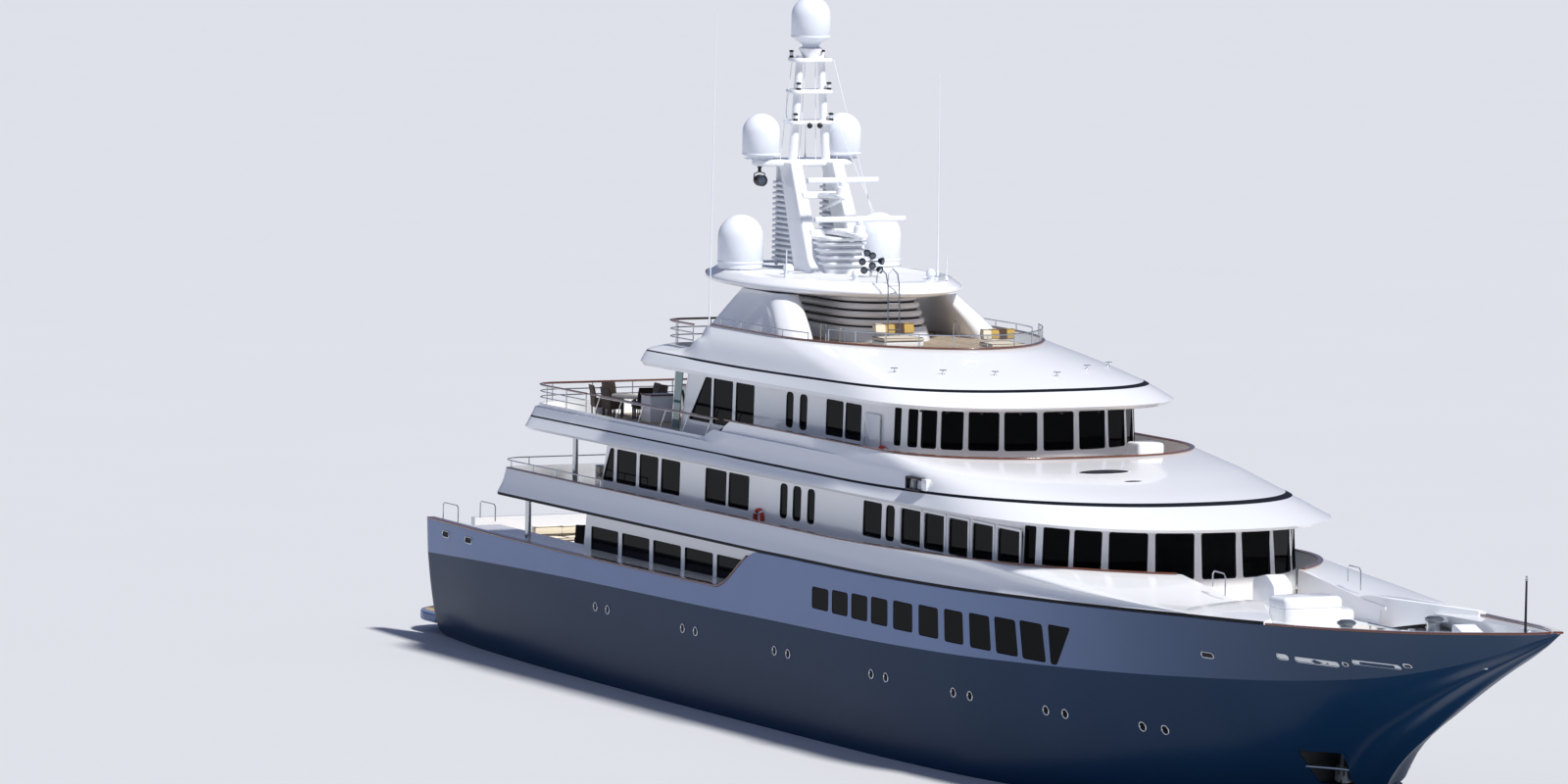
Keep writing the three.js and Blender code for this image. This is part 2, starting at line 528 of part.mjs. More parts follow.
const HARDTOP_X = -12.05;
addMesh('hardtop', skin([
  oval(HARDTOP_X, 5.5, 3.2, 14.4),
  oval(HARDTOP_X, 6.1, 3.8, 14.5),
  oval(HARDTOP_X, 6.2, 3.9, 14.68),
  oval(HARDTOP_X, 5.7, 3.6, HARDTOP_TOP),
], 'z'), WHITE);

// A dome: a neck, a cone, a cylinder and a half sphere
function dome(x, y, foot, radius, height) {
  const crest = [0, 25, 50, 72].map(THREE.MathUtils.degToRad)
    .map((t) => [radius * Math.cos(t), foot + height - radius + radius * Math.sin(t)]);
  const neck = [[0, 0], [0.62, 0], [0.68, 0.2], [1, 0.62]].map(([r, h]) => [r * radius, foot + h * radius]);
  return turned([...neck, ...crest, [0, foot + height]], x, y);
}

const MAST = { domeX: -14.6, domeY: 1.61, spreaderX: -14.5, spreaderZ: 18.66 };
addMesh('big_dome_port', dome(-13.86, 2.73, HARDTOP_TOP + GAP, 0.8, 1.9), WHITE);
addMesh('big_dome_starboard', dome(-13.86, -2.73, HARDTOP_TOP + GAP, 0.8, 1.9), WHITE);
addMesh('mast_dome_port', dome(MAST.domeX, MAST.domeY, MAST.spreaderZ + 0.08 + GAP, 0.66, 1.6), WHITE);
addMesh('mast_dome_starboard', dome(MAST.domeX, -MAST.domeY, MAST.spreaderZ + 0.08 + GAP, 0.66, 1.6), WHITE);

// Mast: two raked legs with louvres, a spreader, and two poles with three platforms
function mastLeg(side) {
  const ring = (x, y, z, long, wide) => [
    v(x - long, side * (y - wide), z), v(x + long, side * (y - wide), z),
    v(x + long, side * (y + wide), z), v(x - long, side * (y + wide), z)];
  return skin([ring(-12.1, 0.95, HARDTOP_TOP + GAP, 0.62, 0.2),
    ring(-13.85, 0.82, MAST.spreaderZ, 0.42, 0.16)], 'z');
}

const spreader = skin([-0.08, 0.08].map((dz) => oval(MAST.spreaderX, 0.75, 1.98, MAST.spreaderZ + dz)), 'z');
const poles = [-1, 1].map((side) =>
  rod(v(-14.0, side * 0.66, MAST.spreaderZ), v(-14.05, side * 0.41, 22.4), 0.115, 8, 0.09));
const shelves = [[20.06, 0.92], [21.14, 0.84], [22.25, 0.78]].map(([z, half]) =>
  box(-14.45, -13.65, -half, half, z - 0.07, z + 0.07));
const crown = rod(v(-14.05, 0, 22.2), v(-14.05, 0, 22.66), 0.3, 12, 0.42);
const RADARS = [
  { label: 'upper', x: -11.45, z: 18.07, half: 1.4, arm: -13.2 },
  { label: 'lower', x: -10.1, z: 16.8, half: 1.79, arm: -12.55 },
];
const radarShelves = RADARS.flatMap(({ x, z, arm }) => [
  box(arm, x + 0.3, -0.3, 0.3, z - 0.55, z - 0.4),
  box(arm, arm + 0.5, -0.9, 0.9, z - 0.62, z - 0.38),
  rod(v(x, 0, z - 0.45), v(x, 0, z - 0.1 - GAP), 0.22, 12),
]);
const mast = union(mastLeg(1), mastLeg(-1), spreader, ...poles, ...shelves, crown, ...radarShelves);
addMesh('mast', mast, WHITE);
addMesh('top_dome', dome(-14.05, 0, 22.66 + GAP, 0.69, 1.82), WHITE);

const lampAt = v(MAST.spreaderX, -1.7, MAST.spreaderZ - 0.08 - GAP);
const lampStem = rod(lampAt, v(lampAt.x, lampAt.y, lampAt.z - 0.35), 0.07);
const lampHead = rod(v(lampAt.x - 0.22, lampAt.y, lampAt.z - 0.5),
  v(lampAt.x + 0.25, lampAt.y, lampAt.z - 0.5), 0.2, 12);
addMesh('searchlight', union(lampStem, lampHead), BLACK);

// Radar: a turning bar over a shelf on the front of the mast
for (const { label, x, z, half } of RADARS) {
  const bar = box(x - 0.12, x + 0.12, -half, half, z, z + 0.2);
  addMesh(`radar_scanner_${label}`, union(bar, rod(v(x, 0, z - 0.1), v(x, 0, z + 0.05), 0.14, 12)), WHITE);
}

// Foredeck
const locker = skin([
  plan({ aft: 22.45, fore: 23.75, half: 1.05, nose: 0.3, power: 3, corner: 0.2, z: FOREDECK_FLOOR + GAP }),
  plan({ aft: 22.45, fore: 23.75, half: 1.05, nose: 0.3, power: 3, corner: 0.2, z: 7.15 }),
  plan({ aft: 22.6, fore: 23.6, half: 0.9, nose: 0.25, power: 3, corner: 0.2, z: 7.3 }),
], 'z').translate(0, -1.35, 0);
addMesh('foredeck_locker', locker, WHITE);
const HOOD = [[18.0, UPPER_FLOOR + GAP], [19.4, UPPER_FLOOR + GAP], [19.4, 7.15], [18.9, 7.5], [18.0, 7.3]];
addMesh('foredeck_hood', plate(HOOD, -0.35, 0.35), WHITE);
for (const [label, side] of [['port', 1], ['starboard', -1]]) {
  const [x, y] = [26.0, side * 1.6];
  addMesh(`windlass_${label}`, union(
    box(x - 0.55, x + 0.55, y - 0.4, y + 0.4, FOREDECK_FLOOR + GAP, FOREDECK_FLOOR + 0.3),
    rod(v(x, y, FOREDECK_FLOOR + 0.2), v(x, y, FOREDECK_FLOOR + 0.85), 0.26, 12)), STEEL);
}
addMesh('jackstaff', rod(v(33.9, 0, BOW_SHELF + GAP), v(33.9, 0, 9.0), 0.04, 8), STEEL);

// Aft decks
for (const [label, side] of [['port', 1], ['starboard', -1]]) {
  addMesh(`pillar_${label}`, union(
    rod(v(-25.6, side * 5.2, MAIN_FLOOR + GAP), v(-25.6, side * 5.2, UPPER_UNDER), 0.11, 12),
    rod(v(-25.6, side * 5.2, MAIN_FLOOR + GAP), v(-25.6, side * 5.2, MAIN_FLOOR + 0.05), 0.2, 12)), STEEL);
  addMesh(`upper_pillar_${label}`,
    rod(v(-23.0, side * 4.6, UPPER_FLOOR + GAP), v(-23.0, side * 4.6, BRIDGE_UNDER), 0.1, 12), STEEL);
}
const TABLE = { x: -19.6, radius: 1.15, low: BRIDGE_FLOOR + 0.68, high: BRIDGE_FLOOR + 0.76 };
addMesh('dining_table', union(
  rod(v(TABLE.x, 0, TABLE.low), v(TABLE.x, 0, TABLE.high), TABLE.radius, 20),
  rod(v(TABLE.x, 0, BRIDGE_FLOOR + GAP), v(TABLE.x, 0, TABLE.low + 0.02), 0.3, 12)), TEAK);
addMesh('bar_cabinet', box(-17.0, -16.0, -2.6, -0.9, BRIDGE_FLOOR + GAP, BRIDGE_FLOOR + 1.05), WHITE);

// Cushioned seats
function seat(name, x0, x1, half, z, back) {
  const base = box(x0, x1, -half, half, z + GAP, z + 0.45);
  const rest = back > 0 ? box(x1 - 0.28, x1, -half, half, z + 0.3, z + 0.9) : box(x0, x0 + 0.28, -half, half,
    z + 0.3, z + 0.9);
  addMesh(name, back ? union(base, rest) : base, CUSHION);
}

seat('sofa_upper', -25.9, -24.9, 2.4, UPPER_FLOOR, -1);
seat('sofa_main', -31.6, -30.6, 2.2, MAIN_FLOOR, -1);
seat('sun_pad', -4.4, -2.2, 2.2, SUN_FLOOR, 0);

// Whip aerials on the hardtop
const whip = (foot, tip) => rod(foot, tip, 0.03, 6, 0.012);
addMesh('whip_starboard', whip(v(-12.8, -4.45, SUN_FLOOR + GAP), v(-12.6, -4.45, 24.0)), WHITE);
addMesh('whip_port', whip(v(-8.6, 2.3, HARDTOP_TOP + 2 * GAP), v(-8.7, 2.3, 22.0)), WHITE);

export default group;
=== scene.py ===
"""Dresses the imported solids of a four-deck motor yacht as a 1:2 scale model.

Sizes are written in metres of the full-size ship, and K turns them into the model's metres.
Origin on the waterline, at the middle of the length, on the centreline. +X bow, +Y port, +Z up.
"""
import math
from bisect import bisect_right

import bmesh
import bpy
from bpy.props import FloatProperty, FloatVectorProperty, IntProperty, PointerProperty
from mathutils import Matrix, Vector
from mathutils.bvhtree import BVHTree


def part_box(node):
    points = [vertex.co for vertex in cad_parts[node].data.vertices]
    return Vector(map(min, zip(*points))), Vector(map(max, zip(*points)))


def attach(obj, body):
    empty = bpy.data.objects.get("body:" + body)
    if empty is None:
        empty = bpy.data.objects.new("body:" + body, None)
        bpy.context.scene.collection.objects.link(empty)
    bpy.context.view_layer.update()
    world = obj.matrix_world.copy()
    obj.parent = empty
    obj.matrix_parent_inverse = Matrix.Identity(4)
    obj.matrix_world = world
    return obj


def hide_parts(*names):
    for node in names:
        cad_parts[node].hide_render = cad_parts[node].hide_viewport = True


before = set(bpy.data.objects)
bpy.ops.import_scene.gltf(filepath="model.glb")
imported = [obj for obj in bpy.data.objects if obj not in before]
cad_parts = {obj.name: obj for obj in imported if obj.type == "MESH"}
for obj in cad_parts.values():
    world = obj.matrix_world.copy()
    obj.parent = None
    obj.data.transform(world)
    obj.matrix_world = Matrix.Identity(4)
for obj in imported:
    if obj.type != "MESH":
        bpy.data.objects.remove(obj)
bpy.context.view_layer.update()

bl_info = {
    "name": "Motor Yacht Builder",
    "version": (1, 0, 0),
    "blender": (4, 5, 0),
    "location": "View3D > Sidebar > Yacht",
    "description": "Builds the dressed model of a four-deck motor yacht over its packed solids",
    "category": "Object",
}

K = 0.5  # model metres for one metre of the full-size ship

# Heights and ends of the ship, as in the solids
TRANSOM, BOW, BEAM = -33.2, 35.8, 12.4
MAIN_FLOOR, UPPER_FLOOR, BRIDGE_FLOOR, SUN_FLOOR = 3.3, 6.1, 8.95, 11.85
UPPER_UNDER, BRIDGE_UNDER, SUN_UNDER = 5.84, 8.6, 11.5
FOREDECK_FLOOR, BOW_SHELF, HARDTOP_TOP = 6.0, 6.9, 14.95
WALL = 0.16
CLEAR = 0.001  # how far a piece stands off the solid that it would otherwise share a face with
SIDES = (("port", 1), ("starboard", -1))
BOTH = (1, -1)

# The finishes that most pieces share
WHITE, STEEL, BLACK, GELCOAT = "white_enamel", "polished_steel", "black_powder_coat", "dome_gelcoat"


# Small mathematics

def lerp(a, b, t):
    return a + (b - a) * t


def mix(p, q, t):
    return tuple(lerp(a, b, t) for a, b in zip(p, q))


def rise(x, start, end, low, high):
    t = min(max((x - start) / (end - start), 0), 1)
    return lerp(low, high, t * t * (3 - 2 * t))


def monotone(xs, ys):
    """A smooth curve through the points that never swings past them."""
    slopes = [(ys[i + 1] - ys[i]) / (xs[i + 1] - xs[i]) for i in range(len(xs) - 1)]
    tangents = [slopes[0]]
    tangents += [0 if a * b <= 0 else 2 * a * b / (a + b) for a, b in zip(slopes, slopes[1:])]
    tangents.append(slopes[-1])

    def at(x):
        i = min(max(bisect_right(xs, x) - 1, 0), len(xs) - 2)
        h = xs[i + 1] - xs[i]
        t = min(max((x - xs[i]) / h, 0), 1)
        return ((1 + 2 * t) * (1 - t) ** 2 * ys[i] + t * (1 - t) ** 2 * h * tangents[i]
                + t * t * (3 - 2 * t) * ys[i + 1] + t * t * (t - 1) * h * tangents[i + 1])
    return at


def spline(before, a, b, after, t):
    """One point of a Catmull-Rom curve between a and b."""
    return tuple(0.5 * (2 * q + (r - p) * t + (2 * p - 5 * q + 4 * r - s) * t * t
                        + (3 * q - p - 3 * r + s) * t ** 3)
                 for p, q, r, s in zip(before, a, b, after))


def rounded(corners, radius, steps=4):
    """A polygon in a plane with its corners rounded."""
    points = []
    for i, here in enumerate(corners):
        before, after = corners[i - 1], corners[(i + 1) % len(corners)]
        start = mix(here, before, min(radius / max(math.dist(here, before), 1e-6), 0.45))
        end = mix(here, after, min(radius / max(math.dist(here, after), 1e-6), 0.45))
        points += [mix(mix(start, here, s / steps), mix(here, end, s / steps), s / steps)
                   for s in range(steps + 1)]
    return points


def turns(steps):
    """Evenly spaced angles once round."""
    return [math.tau * s / steps for s in range(steps)]


def spaced(start, end, step=0.5):
    """Numbers from start to end, about a step apart."""
    count = max(round((end - start) / step), 1)
    return [lerp(start, end, i / count) for i in range(count + 1)]


def flat(ring):
    return [(x, y) for x, y, _ in ring]


def circle(centre, radius, across, up, sides):
    """Points round a centre, in the plane of two directions."""
    return [centre + radius * (across * math.cos(a) + up * math.sin(a)) for a in turns(sides)]


def between(rings, i, share, before, after):
    """A ring between two others, on a smooth curve that may heed the ring before and the one after."""
    return [spline(rings[i - 1][j] if before else mix(q, p, 2), p, q,
                   rings[i + 2][j] if after else mix(p, q, 2), share)
            for j, (p, q) in enumerate(zip(rings[i], rings[i + 1]))]


# Materials

MATERIALS = {}


def linear(colour):
    """An sRGB hex colour as linear red, green and blue."""
    parts = [int(colour[i:i + 2], 16) / 255 for i in (0, 2, 4)]
    return tuple(c / 12.92 if c <= 0.04045 else ((c + 0.055) / 1.055) ** 2.4 for c in parts)


def opaque(colour, factor=1.0):
    return tuple(min(c * factor, 1.0) for c in colour) + (1.0,)


def node(tree, kind, values=None, links=None, **settings):
    """Adds a node; values and links are keyed by the input's name or number."""
    made = tree.nodes.new(kind)
    for key, value in settings.items():
        setattr(made, key, value)
    for key, value in (values or {}).items():
        made.inputs[key].default_value = value
    for key, socket in (links or {}).items():
        tree.links.new(socket, made.inputs[key])
    return made


def surface(name, colour, rough, tone=0.04, tone_size=0.5, grain=0.0, grain_size=0.01, stretch=(1, 1, 1),
            **shader_inputs):
    """A principled material whose colour drifts by the share tone, over a fine bump of height grain.

    tone_size, grain and grain_size are in model metres.
    """
    material = bpy.data.materials.new(name)
    material.use_nodes = True
    tree = material.node_tree
    shader = tree.nodes["Principled BSDF"]
    shader.inputs["Roughness"].default_value = rough
    for key, value in shader_inputs.items():
        shader.inputs[key.replace("_", " ")].default_value = value
    place = node(tree, "ShaderNodeTexCoord").outputs["Object"]
    laid = node(tree, "ShaderNodeMapping", {"Scale": stretch}, {"Vector": place}).outputs[0]
    drift = node(tree, "ShaderNodeTexNoise", {"Scale": 1 / tone_size, "Detail": 4.0}, {"Vector": laid})
    tones = node(tree, "ShaderNodeMix", {6: opaque(colour, 1 - tone), 7: opaque(colour, 1 + tone)},
                 {0: drift.outputs[0]}, data_type="RGBA")
    tree.links.new(tones.outputs[2], shader.inputs["Base Color"])
    if grain:
        fine = node(tree, "ShaderNodeTexNoise", {"Scale": 1 / grain_size, "Detail": 3.0}, {"Vector": laid})
        bump = node(tree, "ShaderNodeBump", {"Distance": grain}, {"Height": fine.outputs[0]})
        tree.links.new(bump.outputs[0], shader.inputs["Normal"])
    MATERIALS[name] = material
    return tree, shader, laid, tones


def below(tree, place, shader, tones, height, colour, rough):
    """Gives a surface another paint below a height, with a crisp edge."""
    apart = node(tree, "ShaderNodeSeparateXYZ", links={0: place})
    low = node(tree, "ShaderNodeMath", {1: height}, {0: apart.outputs[2]}, operation="LESS_THAN")
    paint = node(tree, "ShaderNodeMix", {7: opaque(colour)}, {0: low.outputs[0], 6: tones.outputs[2]},
                 data_type="RGBA")
    dull = node(tree, "ShaderNodeMapRange", {3: shader.inputs["Roughness"].default_value, 4: rough},
                {0: low.outputs[0]})
    tree.links.new(paint.outputs[2], shader.inputs["Base Color"])
    tree.links.new(dull.outputs[0], shader.inputs["Roughness"])


def painted_shade_along_x(tree, place, shader, tones, colour, start, end):
    """Turns a surface's colour into another one along X, as painted shade."""
    apart = node(tree, "ShaderNodeSeparateXYZ", links={0: place})
    share = node(tree, "ShaderNodeMapRange", {1: start, 2: end}, {0: apart.outputs[0]},
                 interpolation_type="SMOOTHSTEP")
    paint = node(tree, "ShaderNodeMix", {7: opaque(colour)}, {0: share.outputs[0], 6: tones.outputs[2]},
                 data_type="RGBA")
    tree.links.new(paint.outputs[2], shader.inputs["Base Color"])


def planked(tree, shader, place, colour, width, length, caulk, seam):
    """Lays planks with dark caulked seams along X; width, length and seam are in model metres."""
    planks = node(tree, "ShaderNodeTexBrick",
                  {"Color1": opaque(colour, 0.86), "Color2": opaque(colour, 1.12), "Mortar": opaque(caulk),
                   "Scale": 1.0, "Mortar Size": seam, "Mortar Smooth": 0.2, "Bias": 0.0,
                   "Brick Width": length, "Row Height": width}, {"Vector": place},
                  offset=0.37, offset_frequency=2)
    grain = node(tree, "ShaderNodeTexNoise", {"Scale": 9.0, "Detail": 8.0, "Roughness": 0.7},
                 {"Vector": node(tree, "ShaderNodeMapping", {"Scale": (1, 14, 14)},
                                 {"Vector": place}).outputs[0]})
    worn = node(tree, "ShaderNodeMix", {0: 0.22}, {6: planks.outputs["Color"], 7: grain.outputs[1]},
                data_type="RGBA", blend_type="SOFT_LIGHT")
    sunk = node(tree, "ShaderNodeBump", {"Distance": -0.002}, {"Height": planks.outputs["Fac"]})
    tree.links.new(worn.outputs[2], shader.inputs["Base Color"])
    tree.links.new(sunk.outputs[0], shader.inputs["Normal"])


def woven(tree, shader, place, pitch, depth):
    """Adds crossed threads of a woven cloth; pitch and depth are in model metres."""
    threads = [node(tree, "ShaderNodeTexWave", {"Scale": 0.5 / pitch / math.pi, "Distortion": 0.6},
                    {"Vector": place}, bands_direction=axis) for axis in ("X", "Y")]
    both = node(tree, "ShaderNodeMath", links={0: threads[0].outputs[1], 1: threads[1].outputs[1]},
                operation="MULTIPLY")
    bump = node(tree, "ShaderNodeBump", {"Distance": depth}, {"Height": both.outputs[0]})
    tree.links.new(bump.outputs[0], shader.inputs["Normal"])


def make_materials(finish):
    """Every finish on the ship, each named for what the real one is."""
    # Two-part polyurethane enamel, sprayed and polished: a deep clear gloss over plain white,
    # with the faint waviness of faired plating in its highlights
    surface("white_enamel", finish.white_paint, 0.22, 0.012, 1.5, 0.0009, 0.35,
            Coat_Weight=0.6, Coat_Roughness=0.03)
    # The same enamel in blue-grey on the topsides, darkened past the paint's own colour as painted shade
    # and a painted reflection of dark water; the plating shows as slow ripples in the gloss,
    # and the copper-free antifouling below the waterline is matt
    tree, shader, laid, tones = surface("topside_enamel", finish.hull_paint, 0.3, 0.06, 1.1, 0.002, 0.9,
                                        Coat_Weight=0.04, Coat_Roughness=0.08, Specular_IOR_Level=0.1)
    below(tree, laid, shader, tones, -0.01, finish.antifouling, 0.75)
    # A lighter blue-grey above the knuckle: its own paint lightened by a painted reflection of the sky,
    # which turns darker towards the bow as painted shade of the flared bow
    tree, shader, laid, tones = surface("sheer_enamel", finish.band_paint_and_painted_sheen, 0.25, 0.05, 0.9, 0.002, 0.8,
                                        Coat_Weight=0.1, Coat_Roughness=0.05, Specular_IOR_Level=0.2)
    painted_shade_along_x(tree, laid, shader, tones, finish.bow_painted_shade, 5 * K, 29 * K)
    # Rolled antifouling on the underwater gear: matt, slightly mottled
    surface("antifouling", finish.antifouling, 0.8, 0.15, 0.12, 0.0006, 0.01)
    # Masked coach stripe in black-blue enamel, satin
    surface("stripe_enamel", linear("07090e"), 0.5, 0.02, 0.3, 0.0002, 0.02, Specular_IOR_Level=0.2)
    # Laid teak, sun-bleached, with black caulking. Real planks of 55 mm would not show at this
    # distance, so they are drawn 160 mm wide on the ship
    tree, shader, laid, _ = surface("laid_teak", finish.teak, 0.72, 0.1, 0.4)
    planked(tree, shader, laid, finish.teak, 0.16 * K, 2.6 * K, linear("1e1a17"), 0.006)
    # Varnished teak cap rails: red-brown, many coats deep, grain along the rail
    surface("varnished_teak", linear("6b3a22"), 0.22, 0.28, 0.05, 0.0003, 0.004, (1, 6, 6),
            Coat_Weight=1.0, Coat_Roughness=0.03)
    # Toughened and tinted window glass: nearly black from outside, with weak, slightly wavy reflections
    surface("tinted_glass", linear("06070a"), 0.04, 0.25, 0.9, 0.0004, 0.7, Specular_IOR_Level=0.04)
    # Clear acrylic of the windscreens: see-through, with a smoky tint
    surface("clear_acrylic", linear("56606a"), 0.04, 0.03, 0.4, Alpha=0.14)
    # Green-tinted laminated glass of the wind shelter at the bridge house's end
    surface("green_glass", linear("3f7d83"), 0.06, 0.2, 0.3, Transmission_Weight=0.35, Coat_Weight=1.0)
    # Electropolished 316 stainless tube and fittings
    surface("polished_steel", linear("c9cdd1"), 0.16, 0.05, 0.08, 0.0001, 0.003, Metallic=1.0)
    # Brushed stainless of door frames and table legs, with fine lines
    surface("brushed_steel", linear("9fa5ab"), 0.34, 0.1, 0.1, 0.0003, 0.002, (0.1, 1, 1), Metallic=1.0)
    # Cast manganese bronze, ground and left to dull
    surface("cast_bronze", linear("b08d4f"), 0.33, 0.16, 0.09, 0.0005, 0.01, Metallic=1.0)
    # Gel-coated glass-fibre of the domes: satin, a shade cooler than the paint
    surface("dome_gelcoat", linear("e9eef6"), 0.38, 0.015, 0.6, 0.0002, 0.01)
    # Powder-coated black lamps, brackets and grilles; the same black is painted shade in the anchor pockets,
    # behind the louvre house's slats and in the foredeck hood's opening
    surface("black_powder_coat", linear("17191c"), 0.5, 0.1, 0.05, 0.0002, 0.003)
    # EPDM rubber of window gaskets; the same black fills the fairleads' open slots as painted shade
    surface("black_rubber", linear("0e0e10"), 0.75, 0.1, 0.05, 0.0002, 0.004)
    # Non-skid deck paint: light grey, sanded
    surface("deck_paint", linear("d7dade"), 0.8, 0.03, 0.4, 0.0008, 0.004)
    # Outdoor acrylic canvas; its 1 mm threads are drawn 10 mm apart so that the cloth shows
    for name, colour in (("cream_canvas", finish.cushion), ("gold_canvas", linear("b99b54")),
                         ("brown_canvas", linear("4a3527"))):
        tree, shader, laid, _ = surface(name, colour, 0.92, 0.05, 0.25, Sheen_Weight=0.35)
        woven(tree, shader, laid, 0.010, 0.0012)
    # Coated polyester of the lifebuoys' covers, orange faded towards red
    surface("orange_cover", linear("c23a22"), 0.6, 0.1, 0.1, 0.0003, 0.004)
    # Machine-woven resin wicker in dark brown, strands about 8 mm wide
    tree, shader, laid, _ = surface("resin_wicker", linear("2c211b"), 0.6, 0.3, 0.02)
    woven(tree, shader, laid, 0.012, 0.004)
    # Glass of lamps and navigation lights
    surface("lamp_glass", linear("dfe6ea"), 0.08, 0.05, 0.05, Coat_Weight=1.0)
    # Fresnel lenses of floodlights and the searchlight, dark because the lamp behind them is off
    surface("dark_lens", linear("3b4654"), 0.1, 0.2, 0.05, Coat_Weight=1.0)
    # Galvanised chain and cast steel drums
    surface("galvanised_steel", linear("8b9197"), 0.45, 0.2, 0.03, 0.0006, 0.006, Metallic=1.0)


# Shapes, with their points in ship metres

def upright(a, b, height):
    return (a, b, height)


def sideways(a, b, height):
    return (a, height, b)


def lengthways(a, b, height):
    return (height, a, b)


def inset(outline, distance):
    """A plane outline moved inwards by a distance."""
    if not distance:
        return outline
    area = sum(p[0] * q[1] - q[0] * p[1] for p, q in zip(outline, outline[1:] + outline[:1]))
    turn = 1 if area > 0 else -1
    moved = []
    for i, here in enumerate(outline):
        before, after = Vector(outline[i - 1]), Vector(outline[(i + 1) % len(outline)])
        here = Vector(here)
        normals = [Vector((-way.y, way.x)).normalized() * turn
                   for way in (here - before, after - here) if way.length > 1e-7]
        middle = sum(normals, Vector((0, 0)))
        middle = middle / max(middle.length_squared / len(normals), 0.4) if normals else middle
        moved.append(tuple(here + middle * distance))
    return moved


def block_outline(a0, a1, b0, b1, radius, steps=4):
    return rounded([(a0, b0), (a1, b0), (a1, b1), (a0, b1)], radius, steps)


class Form:
    """A shape in the making: its points, its faces, and the finish of each face."""

    def __init__(self):
        self.points, self.faces, self.finishes = [], [], []

    def loft(self, rings, finish, closed=True, caps=True, wrap=False):
        """A skin over rings of equally many points.

        finish is a material's name, or a function of the ring's and the point's number.
        """
        first, count = len(self.points), len(rings[0])
        self.points += [tuple(p) for ring in rings for p in ring]
        for r in range(len(rings) if wrap else len(rings) - 1):
            here, there = first + r * count, first + (r + 1) % len(rings) * count
            for c in range(count if closed else count - 1):
                n = (c + 1) % count
                self.faces.append((here + c, here + n, there + n, there + c))
                self.finishes.append(finish(r, c) if callable(finish) else finish)
        if caps and not wrap:
            last = first + (len(rings) - 1) * count
            self.faces += [tuple(range(first, first + count)), tuple(range(last, last + count))]
            ends = caps if isinstance(caps, tuple) else (finish, finish)
            self.finishes += [end(0, 0) if callable(end) else end for end in ends]
        return self

    def tube(self, path, radius, finish, sides=10, closed=False):
        """A round bar along a path; radius may be a list that goes along it."""
        path = [Vector(p) for p in path]
        across, rings = None, []
        for i, here in enumerate(path):
            before = path[i - 1] if closed or i else here
            after = path[(i + 1) % len(path)] if closed or i < len(path) - 1 else here
            way = (after - before).normalized()
            across = way.orthogonal() if across is None else across - way * across.dot(way)
            across.normalize()
            up = way.cross(across)
            r = radius[i] if isinstance(radius, (list, tuple)) else radius
            rings.append(circle(here, r, across, up, sides))
        return self.loft(rings, finish, caps=not closed, wrap=closed)

    def turned(self, foot, profile, finish, sides=32, way=(0, 0, 1)):
        """A turned body; profile rows are radius and distance along its axis."""
        way = Vector(way).normalized()
        across = Vector((1, 0, 0)) if abs(way.x) < 0.9 else Vector((0, 1, 0))
        across = (across - way * across.dot(way)).normalized()
        up = way.cross(across)
        return self.loft([circle(Vector(foot) + way * h, r, across, up, sides) for r, h in profile], finish)

    def stepped(self, outline, layers, place, finish, **ends):
        """Layers of a plane outline; layers holds how far each is drawn in, and its height."""
        return self.loft([[place(a, b, h) for a, b in inset(outline, inward)] for inward, h in layers],
                         finish, **ends)

    def slab(self, outline, low, high, finish, edge=0.02, place=upright, top=None):
        """A plane outline given a thickness, with its edges rounded over."""
        layers = ((edge, low), (edge * 0.3, low + edge * 0.3), (0, low + edge), (0, high - edge),
                  (edge * 0.3, high - edge * 0.3), (edge, high))
        return self.stepped(outline, layers, place, finish, caps=(finish, top or finish))

    def block(self, low, high, finish, radius=0.04, edge=0.02):
        """A box between two corners, with its upright edges rounded."""
        outline = block_outline(low[0], high[0], low[1], high[1], radius)
        return self.slab(outline, low[2], high[2], finish, edge)

    def ball(self, centre, radii, finish, steps=16):
        """An ellipsoid."""
        rings = []
        for i in range(steps + 1):
            lat = math.pi * (i / steps - 0.5)
            rings.append([(centre[0] + radii[0] * math.cos(lat) * math.cos(a),
                           centre[1] + radii[1] * math.cos(lat) * math.sin(a),
                           centre[2] + radii[2] * math.sin(lat)) for a in turns(2 * steps)])
        return self.loft(rings, finish)


def mesh_of(form, name):
    """A form as a closed mesh in model metres, its faces pointing outwards."""
    mesh = bpy.data.meshes.new(name)
    names = sorted(set(form.finishes))
    for finish in names:
        mesh.materials.append(MATERIALS[finish])
    solid = bmesh.new()
    made = [solid.verts.new([c * K for c in p]) for p in form.points]
    for face, finish in zip(form.faces, form.finishes):
        added = solid.faces.new([made[i] for i in face])
        added.material_index = names.index(finish)
        added.smooth = True
    bmesh.ops.remove_doubles(solid, verts=solid.verts, dist=2e-5)
    bmesh.ops.dissolve_degenerate(solid, dist=1e-6, edges=solid.edges)
    bmesh.ops.recalc_face_normals(solid, faces=solid.faces)
    solid.to_mesh(mesh)
    solid.free()
    return mesh


def crease(mesh, angle, weld):
    """Marks as sharp the edges over an angle, and those between two finishes; weld joins doubled points."""
    solid = bmesh.new()
    solid.from_mesh(mesh)
    if weld:
        bmesh.ops.remove_doubles(solid, verts=solid.verts, dist=1e-6)
        bmesh.ops.recalc_face_normals(solid, faces=solid.faces)
    limit = math.radians(angle)
    for edge in solid.edges:
        faces = edge.link_faces
        edge.smooth = not (len(faces) != 2 or faces[0].material_index != faces[1].material_index
                           or edge.calc_face_angle(0) > limit)
    for face in solid.faces:
        face.smooth = True
    solid.to_mesh(mesh)
    solid.free()


def placed(name, data):
    """A new object in the scene."""
    made = bpy.data.objects.new(name, data)
    bpy.context.scene.collection.objects.link(made)
    return made


def discard(helper):
    """Removes an object that only helped to make another, with its mesh."""
    mesh = helper.data
    bpy.data.objects.remove(helper)
    bpy.data.meshes.remove(mesh)


